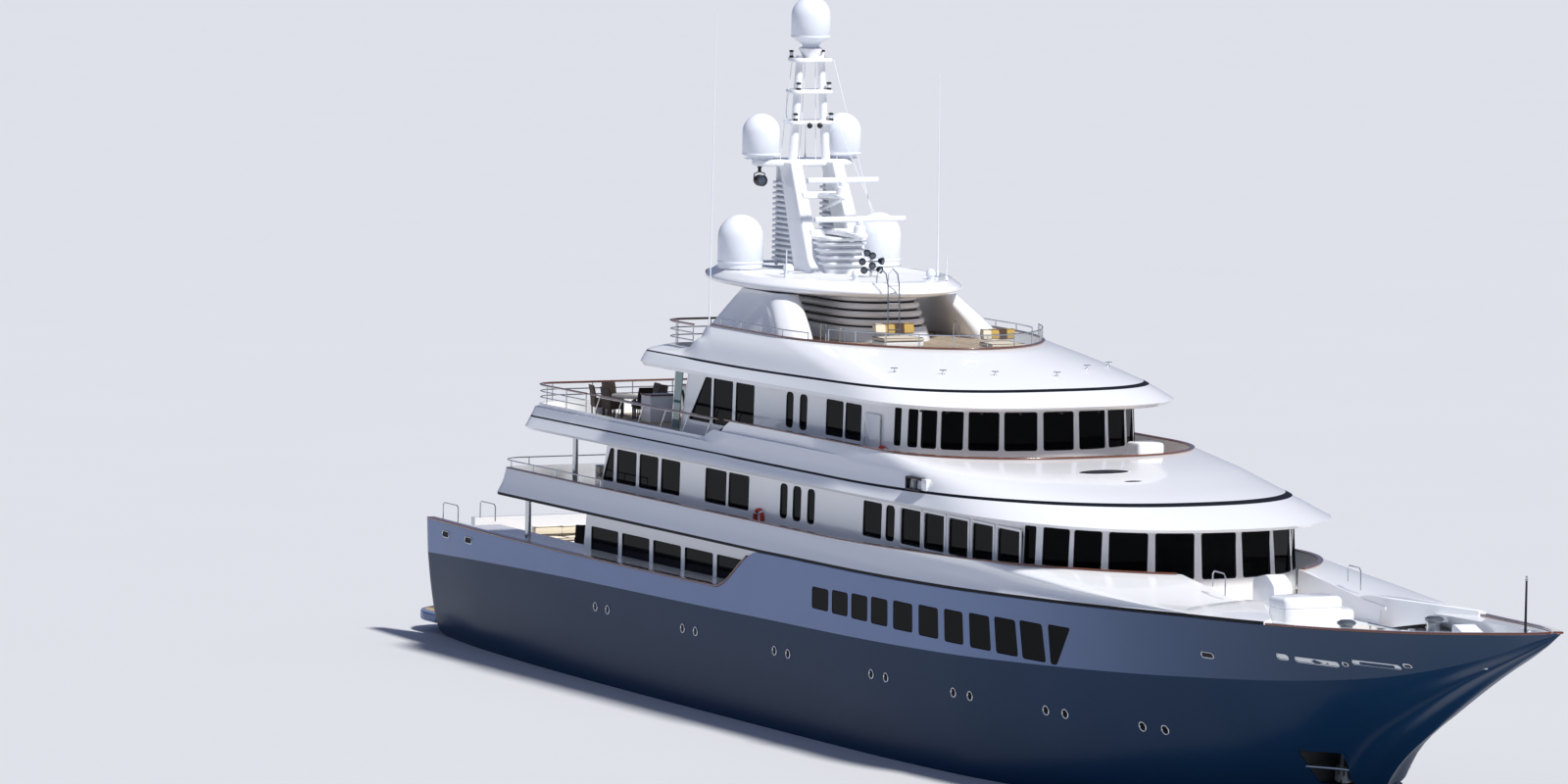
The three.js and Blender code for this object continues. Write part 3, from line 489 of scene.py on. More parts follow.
def bake(piece):
    """Turns a piece and its modifiers into a plain mesh."""
    raw = piece.data
    shown = piece.evaluated_get(bpy.context.evaluated_depsgraph_get())
    mesh = bpy.data.meshes.new_from_object(shown)
    piece.modifiers.clear()
    piece.data = mesh
    if raw.users == 0:
        bpy.data.meshes.remove(raw)


def settle(piece, body="ship", slot="white_paint", stands_for=(), angle=35, weld=False):
    """Creases a finished piece, and says what it rides on and which solids it stands for; slot is not used.
    """
    if len(piece.data.polygons) < 4:
        raise RuntimeError(f"{piece.name} came out empty")
    crease(piece.data, angle, weld)
    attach(piece, body)
    if stands_for:
        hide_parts(*stands_for)
    return piece


def make(form, name, body="ship", slot="white_paint", stands_for=(), cut=None, angle=35):
    """Makes a form into a piece, with another form cut out of it if one is given."""
    piece = placed(name, mesh_of(form, name))
    if cut:
        tool = placed(f"{name}_cut", mesh_of(cut, f"{name}_cut"))
        carve = piece.modifiers.new("carve", "BOOLEAN")
        carve.object, carve.operation = tool, "DIFFERENCE"
        carve.solver, carve.material_mode = "MANIFOLD", "TRANSFER"
        bake(piece)
        piece.data.name = name
        discard(tool)
    return settle(piece, body, slot, stands_for, angle)


# How a cushion is drawn in between its corners, and how far its walls swell; then its seams' heights
# as shares of its thickness, under and over its middle
CUSHION = {"waist": 0.02, "swell": 0.018, "under": 0.36, "over": 0.2592, "piping": 0.012}


def cushion(name, low, high, fill, finish="cream_canvas", crown=0.05, lean=0.0):
    """A stuffed pad: crowned, pulled in between its corners, with piping round its two seams.

    lean slides the top towards +X for each metre of height.
    """
    centre = [(a + b) / 2 for a, b in zip(low, high)]
    half = [(b - a) / 2 for a, b in zip(low, high)]
    grid = [-1 + s / 7 for s in range(15)]

    def point(a, b, sign, puff=0.0):
        """A point of the skin; a and b run from -1 to 1, and sign is -1 for the underside."""
        seam = 2 * half[2] * CUSHION["over" if sign > 0 else "under"]
        z = min(centre[2] + sign * (seam + puff), high[2] + crown * 0.4)
        x = centre[0] + a * half[0] * (1 - CUSHION["waist"] * (1 - b * b))
        y = centre[1] + b * half[1] * (1 - CUSHION["waist"] * (1 - a * a))
        return (x + lean * (z - low[2]), y, z)

    def swollen(p, t):
        out = CUSHION["swell"] * math.sin(math.pi * t)
        x, y = (v + (v - c) * out / max(h, 0.1) for v, c, h in zip(p, centre, half[:2]))
        return (x, y, p[2])

    form = Form()
    for sign in (-1, 1):
        form.loft([[point(a, b, sign, max(sign, 0) * crown * (1 - abs(a) ** 2.6) * (1 - abs(b) ** 2.6))
                    for b in grid] for a in grid], finish, closed=False, caps=False)
    border = ([(a, -1) for a in grid] + [(1, b) for b in grid[1:]] + [(a, 1) for a in grid[-2::-1]]
              + [(-1, b) for b in grid[-2:0:-1]])
    under, over = ([point(a, b, sign) for a, b in border] for sign in (-1, 1))
    form.loft([[swollen(mix(p, q, s / 4), s / 4) for p, q in zip(under, over)] for s in range(5)],
              finish, caps=False)
    for seam in (under, over):
        form.tube(seam, CUSHION["piping"], "brown_canvas", 6, closed=True)
    make(form, name, slot="cushion", angle=60)


# Node trees for what repeats or follows a path

TREES = {}


def tree_with(name, inputs):
    """A geometry tree with named inputs; returns it with its input and output nodes."""
    tree = bpy.data.node_groups.new(name, "GeometryNodeTree")
    tree.interface.new_socket("Path", in_out="INPUT", socket_type="NodeSocketGeometry")
    for label, (kind, value) in inputs.items():
        socket = tree.interface.new_socket(label, in_out="INPUT", socket_type=f"NodeSocket{kind}")
        if value is not None:
            socket.default_value = value
    tree.interface.new_socket("Geometry", in_out="OUTPUT", socket_type="NodeSocketGeometry")
    TREES[name] = tree
    return tree, node(tree, "NodeGroupInput"), node(tree, "NodeGroupOutput")


def close_tree(tree, given, out, geometry):
    whole = node(tree, "GeometryNodeRealizeInstances", links={0: geometry})
    painted = node(tree, "GeometryNodeSetMaterial",
                   links={0: whole.outputs[0], "Material": given.outputs["Finish"]})
    tree.links.new(painted.outputs[0], out.inputs[0])


def along(tree, line, step, item):
    """Sets an item down at even steps along a line."""
    evened = node(tree, "GeometryNodeResampleCurve", links={0: line, "Length": step}, mode="LENGTH")
    points = node(tree, "GeometryNodeCurveToPoints", links={0: evened.outputs[0]}, mode="EVALUATED")
    return node(tree, "GeometryNodeInstanceOnPoints", links={0: points.outputs[0], "Instance": item})


def railing_tree():
    """Bars of tube above a path, on evenly spaced posts."""
    tree, given, out = tree_with("railing", {
        "Height": ("Float", 1.0), "Bars": ("Int", 3), "Bar radius": ("Float", 0.02),
        "Post radius": ("Float", 0.02), "Spacing": ("Float", 1.2), "Lean": ("Vector", (0, 0, 0)),
        "Finish": ("Material", None)})

    def rod(line, radius):
        disc = node(tree, "GeometryNodeCurvePrimitiveCircle", {"Resolution": 10}, {"Radius": radius})
        return node(tree, "GeometryNodeCurveToMesh", {"Fill Caps": True}, {0: line, 1: disc.outputs[0]})

    line = node(tree, "GeometryNodeMeshToCurve", links={0: given.outputs["Path"]})
    copies = node(tree, "GeometryNodeDuplicateElements",
                  links={0: line.outputs[0], "Amount": given.outputs["Bars"]}, domain="SPLINE")
    number = node(tree, "ShaderNodeMath", {1: 1.0}, {0: copies.outputs[1]}, operation="ADD")
    share = node(tree, "ShaderNodeMath", links={0: number.outputs[0], 1: given.outputs["Bars"]},
                 operation="DIVIDE")
    height = node(tree, "ShaderNodeCombineXYZ", links={2: given.outputs["Height"]})
    top = node(tree, "ShaderNodeVectorMath", links={0: height.outputs[0], 1: given.outputs["Lean"]},
               operation="ADD")
    lift = node(tree, "ShaderNodeVectorMath", links={0: top.outputs[0], "Scale": share.outputs[0]},
                operation="SCALE")
    bars = node(tree, "GeometryNodeSetPosition", links={0: copies.outputs[0], "Offset": lift.outputs[0]})
    tubes = rod(bars.outputs[0], given.outputs["Bar radius"])
    stick = node(tree, "GeometryNodeCurvePrimitiveLine", {"Start": (0, 0, 0)}, {"End": top.outputs[0]})
    post = rod(stick.outputs[0], given.outputs["Post radius"])
    posts = along(tree, line.outputs[0], given.outputs["Spacing"], post.outputs[0])
    both = node(tree, "GeometryNodeJoinGeometry", links={0: tubes.outputs[0]})
    tree.links.new(posts.outputs[0], both.inputs[0])
    close_tree(tree, given, out, both.outputs[0])


def moulding_tree():
    """A rounded bar of given width and height that keeps upright along a path."""
    tree, given, out = tree_with("moulding", {
        "Width": ("Float", 0.2), "Height": ("Float", 0.05), "Finish": ("Material", None)})
    line = node(tree, "GeometryNodeMeshToCurve", links={0: given.outputs["Path"]})
    level = node(tree, "GeometryNodeSetCurveNormal", links={0: line.outputs[0]}, mode="Z_UP")
    box = node(tree, "GeometryNodeCurvePrimitiveQuadrilateral",
               links={"Width": given.outputs["Width"], "Height": given.outputs["Height"]})
    half = node(tree, "ShaderNodeMath", {1: 0.45}, {0: given.outputs["Height"]}, operation="MULTIPLY")
    soft = node(tree, "GeometryNodeFilletCurve", {"Count": 4},
                {0: box.outputs[0], "Radius": half.outputs[0]}, mode="POLY")
    bar = node(tree, "GeometryNodeCurveToMesh", {"Fill Caps": True},
               {0: level.outputs[0], 1: soft.outputs[0]})
    close_tree(tree, given, out, bar.outputs[0])


def slat_tree():
    """Flat slats of one size, at even steps along a path."""
    tree, given, out = tree_with("slats", {
        "Pitch": ("Float", 0.2), "Size": ("Vector", (0.1, 0.1, 0.02)), "Finish": ("Material", None)})
    line = node(tree, "GeometryNodeMeshToCurve", links={0: given.outputs["Path"]})
    slat = node(tree, "GeometryNodeMeshCube", links={"Size": given.outputs["Size"]})
    slats = along(tree, line.outputs[0], given.outputs["Pitch"], slat.outputs[0])
    close_tree(tree, given, out, slats.outputs[0])


def scatter_tree():
    """One object set at each point of a mesh, turned by the point's own angle."""
    tree, given, out = tree_with("scatter", {"Piece": ("Object", None)})
    piece = node(tree, "GeometryNodeObjectInfo", {"As Instance": True}, {"Object": given.outputs["Piece"]})
    angle = node(tree, "GeometryNodeInputNamedAttribute", {"Name": "turn"}, data_type="FLOAT")
    spin = node(tree, "ShaderNodeCombineXYZ", links={2: angle.outputs[0]})
    set_down = node(tree, "GeometryNodeInstanceOnPoints",
                    links={0: given.outputs["Path"], "Instance": piece.outputs["Geometry"],
                           "Rotation": spin.outputs[0]})
    whole = node(tree, "GeometryNodeRealizeInstances", links={0: set_down.outputs[0]})
    tree.links.new(whole.outputs[0], out.inputs[0])


def make_trees():
    railing_tree()
    moulding_tree()
    slat_tree()
    scatter_tree()


def wire(name, paths):
    """An object of plain lines; each path is a list of points, in ship metres."""
    points, edges = [], []
    for path in paths:
        first = len(points)
        points += [[c * K for c in p] for p in path]
        edges += [(first + i, first + i + 1) for i in range(len(path) - 1)]
    mesh = bpy.data.meshes.new(name)
    mesh.from_pydata(points, edges, [])
    return placed(name, mesh)


def grow(piece, tree, inputs):
    """Runs a tree on a piece; its inputs' lengths are given in ship metres."""
    modifier = piece.modifiers.new("grow", "NODES")
    modifier.node_group = TREES[tree]
    for socket in TREES[tree].interface.items_tree:
        value = inputs.get(socket.name)
        if value is None:
            continue
        if isinstance(value, float):
            value *= K
        elif isinstance(value, tuple):
            value = [v * K for v in value]
        modifier[socket.identifier] = value
    bake(piece)


def grown(name, tree, paths, slot="steel", finish=STEEL, **sizes):
    """A piece that a tree makes along paths."""
    piece = wire(name, paths)
    inputs = {key.replace("_", " ").capitalize(): value for key, value in sizes.items()}
    grow(piece, tree, {"Finish": MATERIALS[finish], **inputs})
    settle(piece, slot=slot, weld=True)


# The hull

# Columns: x, keel z, then half-breadth and height at the bilge, side, knuckle and sheer
SECTIONS = [
    (TRANSOM, -0.35, 4.1, -0.25, 5.3, 0.5, 5.7, 3.1, 5.75, 4.35),
    (-28.0, -1.2, 4.4, -1.0, 5.75, 0.3, 5.98, 3.3, 6.0, 4.35),
    (-20.0, -2.6, 4.4, -2.2, 6.0, -0.4, 6.15, 3.5, 6.18, 4.35),
    (-8.6, -3.4, 4.7, -3.1, 6.1, -1.2, BEAM / 2, 3.65, BEAM / 2, 4.4),
    (-5.4, -3.4, 4.7, -3.1, 6.1, -1.2, BEAM / 2, 3.7, BEAM / 2, 5.9),
    (2.0, -3.4, 4.6, -3.1, 6.05, -1.1, 6.18, 3.8, BEAM / 2, 5.96),
    (8.0, -3.4, 4.0, -3.05, 5.7, -0.9, 6.03, 3.95, 6.12, 6.08),
    (14.0, -3.4, 2.8, -3.0, 4.6, -0.5, 5.5, 4.2, 5.82, 6.28),
    (18.0, -3.35, 1.7, -2.9, 3.4, -0.2, 4.9, 4.4, 5.35, 6.42),
    (21.5, -3.1, 0.85, -2.6, 2.2, 0.2, 4.15, 4.62, 4.75, 6.55),
    (24.0, -1.1, 0.45, -0.6, 1.4, 1.2, 3.5, 4.8, 4.3, 6.63),
    (26.5, 2.1, 0.3, 2.5, 1.2, 3.35, 2.85, 5.05, 3.75, 6.73),
    (29.0, 3.75, 0.3, 4.05, 1.0, 4.55, 2.15, 5.4, 3.12, 6.86),
    (31.5, 5.2, 0.25, 5.37, 0.7, 5.6, 1.35, 5.95, 2.32, 7.02),
    (33.7, 6.3, 0.15, 6.37, 0.36, 6.45, 0.7, 6.62, 1.3, 7.2),
    (35.0, 6.9, 0.08, 6.94, 0.17, 7.0, 0.3, 7.12, 0.58, 7.32),
    (BOW, 7.36, 0.02, 7.37, 0.03, 7.38, 0.05, 7.39, 0.08, 7.42),
]
CURVES = [monotone([row[0] for row in SECTIONS], [row[k] for row in SECTIONS]) for k in range(1, 10)]
BULWARK = 0.24
SPAN_STEPS = 5
BAND_STEPS = 4


def sheer_half(x):
    return CURVES[7](x)


def sheer_z(x):
    return CURVES[8](x)


def section(x):
    """One side of the hull at x, from the keel to the sheer, as half-breadths and heights."""
    keel, bilge_y, bilge_z, side_y, side_z, knee_y, knee_z, top_y, top_z = (curve(x) for curve in CURVES)
    marks = [(-bilge_y, bilge_z), (0, keel), (bilge_y, bilge_z),
             (lerp(bilge_y, side_y, 0.7), lerp(bilge_z, side_z, 0.35)), (side_y, side_z),
             (lerp(side_y, knee_y, 0.62), lerp(side_z, knee_z, 0.5)), (knee_y, knee_z)]
    marks.append(tuple(2 * a - b for a, b in zip(marks[-1], marks[-2])))
    side = [spline(*marks[i - 1:i + 3], s / SPAN_STEPS)
            for i in range(1, len(marks) - 2) for s in range(SPAN_STEPS)]
    return side + [mix((knee_y, knee_z), (top_y, top_z), s / BAND_STEPS) for s in range(BAND_STEPS + 1)]


def side_at(x, z):
    """The hull's half-breadth at a height."""
    side = section(x)
    for (y0, z0), (y1, z1) in zip(side[-2::-1], side[:0:-1]):
        if z0 <= z:
            return lerp(y0, y1, (z - z0) / max(z1 - z0, 1e-6))
    return 0.0


def inner_half(x, z):
    """Half the width between the bulwarks at a height."""
    knee_y, knee_z, top_y, top_z = (CURVES[k](x) for k in (5, 6, 7, 8))
    return max(lerp(knee_y, top_y, (z - knee_z) / (top_z - knee_z)) - BULWARK, 0.05)


def on_side(x, z, side, out=0.0):
    """A point on the topsides, moved outwards by a distance."""
    lean_x = (side_at(x + 0.05, z) - side_at(x - 0.05, z)) / 0.1
    lean_z = (side_at(x, z + 0.04) - side_at(x, z - 0.04)) / 0.08
    point = Vector((x, side_at(x, z), z)) + Vector((-lean_x, 1, -lean_z)).normalized() * out
    return (point.x, side * point.y, point.z)


def run(start, end, floor, step=0.5):
    """Stations of the hull over one stretch, for STATIONS."""
    return [(x, floor, 0) for x in spaced(start, end, step)]


# The hull's sections: x, the height of the deck in it or None, and how far its side is drawn in
STATIONS = [(TRANSOM, None, 0.1), (TRANSOM + 0.02, None, 0.05), (TRANSOM + 0.07, None, 0.015),
            *run(TRANSOM + 0.15, -32.9, None), *run(-32.9, -9.1, MAIN_FLOOR),
            *run(-9.0, -6.6, MAIN_FLOOR, 0.2), *run(-6.6, -5.8, None, 0.2), *run(-5.8, 22.3, UPPER_UNDER),
            *run(22.3, 32.6, FOREDECK_FLOOR), *run(33.3, 34.4, BOW_SHELF, 0.3), *run(34.4, BOW, None, 0.2)]
PAINTED_DECK = 22  # forward of this x the deck is painted, and aft of it teak
STAIR = {"inner": 3.9, "outer": 5.25, "rise": 0.43, "going": 0.5, "steps": 6, "foot": 0.8, "open": 6.0}
GARAGE = {"half": 3.1, "low": 0.95, "high": 2.95, "depth": 2.4}
POCKET = {"aft": 24.3, "fore": 25.5, "inner": 0.75, "low": 1.5, "high": 2.6, "lip": 0.06, "bar": 2.05}
# Main deck windows in the upper band; columns: aft x, fore x, lean of the aft edge, lean of the fore edge
HULL_WINDOWS = [(-1.3, -0.1, 0, 0), (0.15, 1.3, 0, 0), (1.55, 2.7, 0, 0), (2.95, 4.1, 0, 0),
                (4.48, 5.79, 0, 0), (6.2, 7.5, 0, 0), (7.9, 9.1, 0, 0), (9.5, 10.75, 0, 0),
                (11.05, 12.3, 0, 0), (12.55, 13.85, 0, 0), (14.1, 14.43, 0.1, 1.0)]
SCUTTLES = (19.3, 18.3, 14.6, 13.6, 9.4, 8.4, 4.0, 3.0, -3.0, -4.0, -10.0, -11.0, -17.0, -18.0)
SCUTTLE = {"radius": 0.17, "z": 2.7}
# Slots with steel rims at the bow and the stern; columns: aft x, fore x, middle's z, height, what fills it.
# A black rubber fill is painted shade in an open slot
FAIRLEADS = ((21.74, 22.32, 5.4, 0.22, "black_rubber"), (25.15, 25.65, 5.7, 0.22, STEEL),
             (25.9, 27.66, 5.68, 0.2, STEEL), (27.8, 28.05, 5.72, 0.16, "black_rubber"),
             (28.25, 30.0, 5.82, 0.17, STEEL), (30.12, 30.42, 5.9, 0.15, "black_rubber"),
             (-31.6, -30.9, 3.95, 0.26, "black_rubber"), (-29.4, -28.7, 3.95, 0.26, "black_rubber"))
# The upper deck's wings beside the foredeck: their aft end, the foredeck well's corner, their fore end
WING = (19.6, 22.0, 25.1)
WELL = 2.2  # half the well's breadth


def hull_window(row):
    aft, fore, lean_aft, lean_fore = row
    low, high = (lerp(a, b, (aft - 2.95) / 12.0) for a, b in ((4.4, 4.25), (5.3, 5.6)))
    return rounded([(aft, low), (fore, low), (fore + lean_fore, high), (aft + lean_aft, high)], 0.12)


def stadium(x0, x1, z, high, steps=8):
    """A slot with round ends, as x and z."""
    r = high / 2
    ends = [(x0 + r, z, math.pi / 2), (x1 - r, z, -math.pi / 2)]
    return [(x + r * math.cos(a + math.pi * s / steps), z + r * math.sin(a + math.pi * s / steps))
            for x, z, a in ends for s in range(steps + 1)]


def topside(side):
    """Places a form's outlines, drawn in x and z, on one of the hull's sides."""
    return lambda x, z, out: on_side(x, z, side, out)


def rimmed(form, outline, side, middle, width):
    """An opening with a steel rim, set on the topsides."""
    proud = 0.025
    layers = ((0, -0.05), (0, proud * 0.6), (width * 0.3, proud), (width * 0.7, proud),
              (width, proud * 0.2))
    form.stepped(outline, layers, topside(side), STEEL, caps=(STEEL, middle))


def hull_body():
    rings = []
    for x, floor, drawn in STATIONS:
        side = [(max(y - drawn, 0), z) for y, z in section(x)]
        top_y, top_z = side[-1]
        inner = min(inner_half(x, top_z), top_y * 0.7)
        low = top_z if floor is None else floor
        foot = min(inner * 0.98 if floor is None else inner_half(x, floor), top_y * 0.9)
        half = [*side, (top_y - 0.02, top_z + 0.015), (inner, top_z + 0.015), (foot, low), (0, low)]
        rings.append([(x, y, z) for y, z in half] + [(x, -y, z) for y, z in half[-2:0:-1]])
    names = (["topside_enamel"] * (SPAN_STEPS * 5) + ["sheer_enamel"] * (BAND_STEPS + 1)
             + [WHITE, WHITE, "laid_teak"])

    def finish(r, c):
        name = names[min(c, 2 * len(names) - 1 - c)]
        if name != "laid_teak":
            return name
        (x, floor, _), ahead = STATIONS[r], STATIONS[min(r + 1, len(STATIONS) - 1)][1]
        if floor is None or floor != ahead:
            return WHITE
        return "deck_paint" if x > PAINTED_DECK else "laid_teak"
    return Form().loft(rings, finish, caps=("topside_enamel", "sheer_enamel"))


def hull_cuts(recess):
    """What is cut out of the hull: garage, stern stairs, anchor pockets and window recesses."""
    cuts = Form()
    cuts.slab(block_outline(-GARAGE["half"], GARAGE["half"], GARAGE["low"], GARAGE["high"], 0.12),
              TRANSOM - 1, TRANSOM + GARAGE["depth"], "deck_paint", 0.05, lengthways)
    steps = [(TRANSOM - 1, STAIR["foot"])]
    for i in range(STAIR["steps"]):
        x, z = TRANSOM + STAIR["going"] * (i + 1), STAIR["foot"] + STAIR["rise"] * i
        steps += [(x, z), (x, z + STAIR["rise"])]
    steps[-1:] = [(steps[-1][0], STAIR["open"]), (TRANSOM - 1, STAIR["open"])]
    pocket = block_outline(POCKET["aft"], POCKET["fore"], POCKET["low"], POCKET["high"], 0.1)
    for side in BOTH:
        cuts.loft([[(x, side * y, z) for x, z in steps] for y in (STAIR["inner"], STAIR["outer"])], WHITE)
        # The anchor pockets' insides are black: painted shade in the recess
        cuts.loft([[(x, side * y, z) for x, z in pocket] for y in (POCKET["inner"], 3.5)], BLACK)
        for row in HULL_WINDOWS:
            cuts.stepped(hull_window(row), ((0, -recess), (0, 0.3)), topside(side), "black_rubber")
    return cuts


def hull_panes(recess):
    panes = Form()
    for side in BOTH:
        for row in HULL_WINDOWS:
            panes.stepped(inset(hull_window(row), 0.012),
                          ((0, -recess), (0, -recess + 0.03), (0.012, -recess + 0.036)), topside(side),
                          "tinted_glass")
    return panes


def hull_fittings():
    """The rims of scuttles, fairleads and anchor pockets."""
    form = Form()
    aft, fore = POCKET["aft"] - POCKET["lip"], POCKET["fore"] + POCKET["lip"]
    for side in BOTH:
        for x in SCUTTLES:
            port = [(x + SCUTTLE["radius"] * math.cos(a), SCUTTLE["z"] + SCUTTLE["radius"] * math.sin(a))
                    for a in turns(24)]
            rimmed(form, port, side, "tinted_glass", 0.045)
        for start, end, z, high, middle in FAIRLEADS:
            rimmed(form, stadium(start, end, z, high), side, middle, 0.04)
        bar = [(x, side * (side_at(x, POCKET["bar"]) + 0.01), POCKET["bar"])
               for x in (aft, 24.6, 24.9, 25.2, fore)]
        form.tube(bar, 0.05, STEEL)
        lip = block_outline(aft, fore, POCKET["low"] - POCKET["lip"], POCKET["high"] + POCKET["lip"], 0.14)
        form.stepped(lip, ((0, -0.02), (0, 0.02), (0.03, 0.03), (0.07, 0.02), (0.07, -0.02)), topside(side),
                     "topside_enamel", wrap=True)
    return form


def foredeck_wings():
    """The upper deck's sides run down ahead of it beside the foredeck, with a diagonal inner edge."""
    form = Form()
    aft, corner, fore = WING
    for side in BOTH:
        rings = []
        for x in spaced(aft, fore, 0.3):
            y, z = sheer_half(x), sheer_z(x) + 0.02
            ahead = max(x - corner, 0) / (fore - corner)
            inner = lerp(WELL + 0.01, sheer_half(fore) - 0.3, ahead)
            crest = lerp(rise(x, aft, 21.4, 6.78, 7.0), 6.86, ahead)
            rings.append([(x, side * a, b) for a, b in
                          ((y - 0.02, z), (y - 0.01, z + 0.1),
                           (lerp(y, inner, 0.3), lerp(z + 0.1, crest, 0.42)),
                           (lerp(y, inner, 0.65), lerp(z + 0.1, crest, 0.8)),
                           (inner + 0.05, crest), (inner + 0.01, crest - 0.03),
                           (inner, lerp(FOREDECK_FLOOR, crest - 0.32, ahead)))])
        form.loft(rings, lambda r, c: WHITE if c else "stripe_enamel", caps=(WHITE, WHITE))
    return form


def build_hull(sizes):
    recess = sizes.window_recess
    make(hull_body(), "hull_shell", slot="hull_paint", stands_for=["hull"], cut=hull_cuts(recess))
    make(hull_panes(recess), "hull_window_panes", slot="dark_glass", angle=12)
    make(hull_fittings(), "hull_fittings", slot="steel")
    paths = [[(x, side * (sheer_half(x) - inward), sheer_z(x) + 0.045) for x in spaced(start, end, step)]
             for side in BOTH
             for start, end, step, inward in ((WING[2] + 0.1, 35.5, 0.35, 0.1), (-33.0, -6.2, 0.4, 0.12))]
    grown("bulwark_cap_rails", "moulding", paths, "teak", "varnished_teak", width=0.32, height=0.07)
    frames = []
    for x in [22.9 + 0.8 * i for i in range(12)]:
        for side in BOTH:
            low, high = inner_half(x, 6.05), inner_half(x, 6.6)
            frames.append([(x, side * (low - 0.03), 6.02), (x, side * (high - 0.03), sheer_z(x) - 0.02)])
    grown("bulwark_frames", "moulding", frames, "white_paint", WHITE, width=0.07, height=0.12)
    make(foredeck_wings(), "foredeck_coamings")
    keel = Form()
    keel.ball((22.6, 0, -2.3), (3.6, 0.85, 1.05), "antifouling", 20)
    skeg = [(-22, -2.4), (-14, -3.9), (2, -3.9), (6, -3.35), (6, -3.1), (-22, -1.9)]
    keel.slab(skeg, -0.2, 0.2, "antifouling", 0.08, sideways)
    make(keel, "bulb_and_skeg", slot="hull_paint")


# Decks

def plan(aft, fore, half, nose, corner, power, z, side_steps=64, front_steps=30):
    """A deck's outline from port round to starboard.

    Its stern corners are rounded by corner, and its front is a superellipse as long as nose.
    """
    breadth = half if callable(half) else lambda x: half
    height = z if callable(z) else lambda x: z
    port = []
    for i in range(9):
        t = i / 8 * math.pi / 2
        port.append((aft + corner * (1 - math.cos(t)), breadth(aft + corner) - corner * (1 - math.sin(t))))
    shoulder = fore - nose
    for i in range(1, side_steps):
        x = lerp(aft + corner, shoulder, i / side_steps)
        port.append((x, breadth(x)))
    for i in range(front_steps + 1):
        t = (1 - i / front_steps) * math.pi / 2
        cos, sin = math.cos(t), math.sin(t)
        reach = (abs(cos) ** power + abs(sin) ** power) ** (-1 / power)
        port.append((shoulder + nose * reach * cos, breadth(shoulder) * reach * sin))
    port[-1] = (fore, 0.0)
    starboard = [(x, -y) for x, y in port[-2::-1]]
    return [(x, y, height(x)) for x, y in port + starboard]


def deck_skin(rings, spans):
    """A deck from its underside, up over its bulwark and down to its floor.

    spans holds, for each pair of rings, (share of the way, finish) of its sub-rings. A finish may be a
    function of x. Spans of more than one sub-ring run smoothly into each other.
    """
    full, finishes = [], []
    for i, span in enumerate(spans):
        before = i > 0 and len(spans[i - 1]) > 1
        after = i + 1 < len(spans) and len(spans[i + 1]) > 1
        for share, finish in span:
            full.append(between(rings, i, share, before, after) if share else rings[i])
            finishes.append(finish)
    full.append(rings[-1])

    def finish_at(r, c):
        finish = finishes[r]
        return finish(full[r][c][0]) if callable(finish) else finish
    return Form().loft(full, finish_at, caps=("deck_paint", "laid_teak"))


def step(x, at, low, high):
    return rise(x, at, at + 1.2, low, high)


def upper_side(inward):
    return lambda x: min(sheer_half(max(x, -5)), BEAM / 2) - inward


def hull_top(x):
    return max(sheer_z(max(x, -5)), 5.9)


def upper_cap(x):
    return rise(x, -2, 17, 6.87, 7.32)


BRIDGE_CAP, SUN_CAP = 10.1, 13.12  # the bulwarks' tops where they stand high


def bridge_cap(x):
    return step(x, -9.8, 9.42, BRIDGE_CAP)


def sun_cap(x):
    return step(x, -13.6, 12.2, SUN_CAP)


# Levels of the decks; columns: aft, fore, half-breadth, length of the rounded front, radius of the
# stern corners, power of the front's curve, height
UPPER_LEVELS = [
    (-26.4, 21.7, upper_side(0.65), 0.4, 0.8, 3, UPPER_UNDER + CLEAR),
    (-26.5, 21.8, upper_side(0.36), 0.4, 0.8, 3, lambda x: hull_top(x) + 0.02),
    (-26.9, 22.05, upper_side(0), 0.5, 1.0, 3, lambda x: hull_top(x) + 0.02),
    (-27.0, 22.05, upper_side(0.01), 0.5, 1.1, 3, lambda x: hull_top(x) + 0.12),
    (-26.9, 20.5, upper_side(0.16), 6, 1.1, 2.6, lambda x: rise(x, -2, 18, 6.4, 6.85)),
    (-26.8, 17.4, 5.92, 9.0, 1.0, 2, upper_cap),
    (-26.68, 17.26, 5.8, 8.9, 0.9, 2, upper_cap),
    (-26.65, 17.2, 5.77, 8.9, 0.9, 2, UPPER_FLOOR),
]
BRIDGE_LEVELS = [
    (-23.9, 15.7, 5.3, 8.0, 0.8, 2.4, BRIDGE_UNDER + CLEAR),
    (-24.5, 16.5, 6.08, 8.5, 0.9, 2.4, lambda x: rise(x, 0, 16, 8.5, 8.6)),
    (-24.7, 16.6, 6.18, 8.5, 1.0, 2.4, lambda x: rise(x, 0, 16, 8.6, 8.7)),
    (-24.7, 13.8, 5.95, 8.0, 1.0, 2.4, lambda x: rise(x, 0, 14, 9.0, 9.3)),
    (-24.6, 10.4, 5.85, 6.6, 1.0, 2.5, lambda x: step(x, -9.8, 9.3, 9.72)),
    (-24.5, 6.8, 5.7, 5.2, 0.9, 2.6, bridge_cap),
    (-24.4, 6.68, 5.58, 5.1, 0.9, 2.6, bridge_cap),
    (-24.35, 6.6, 5.55, 5.1, 0.9, 2.6, BRIDGE_FLOOR),
]
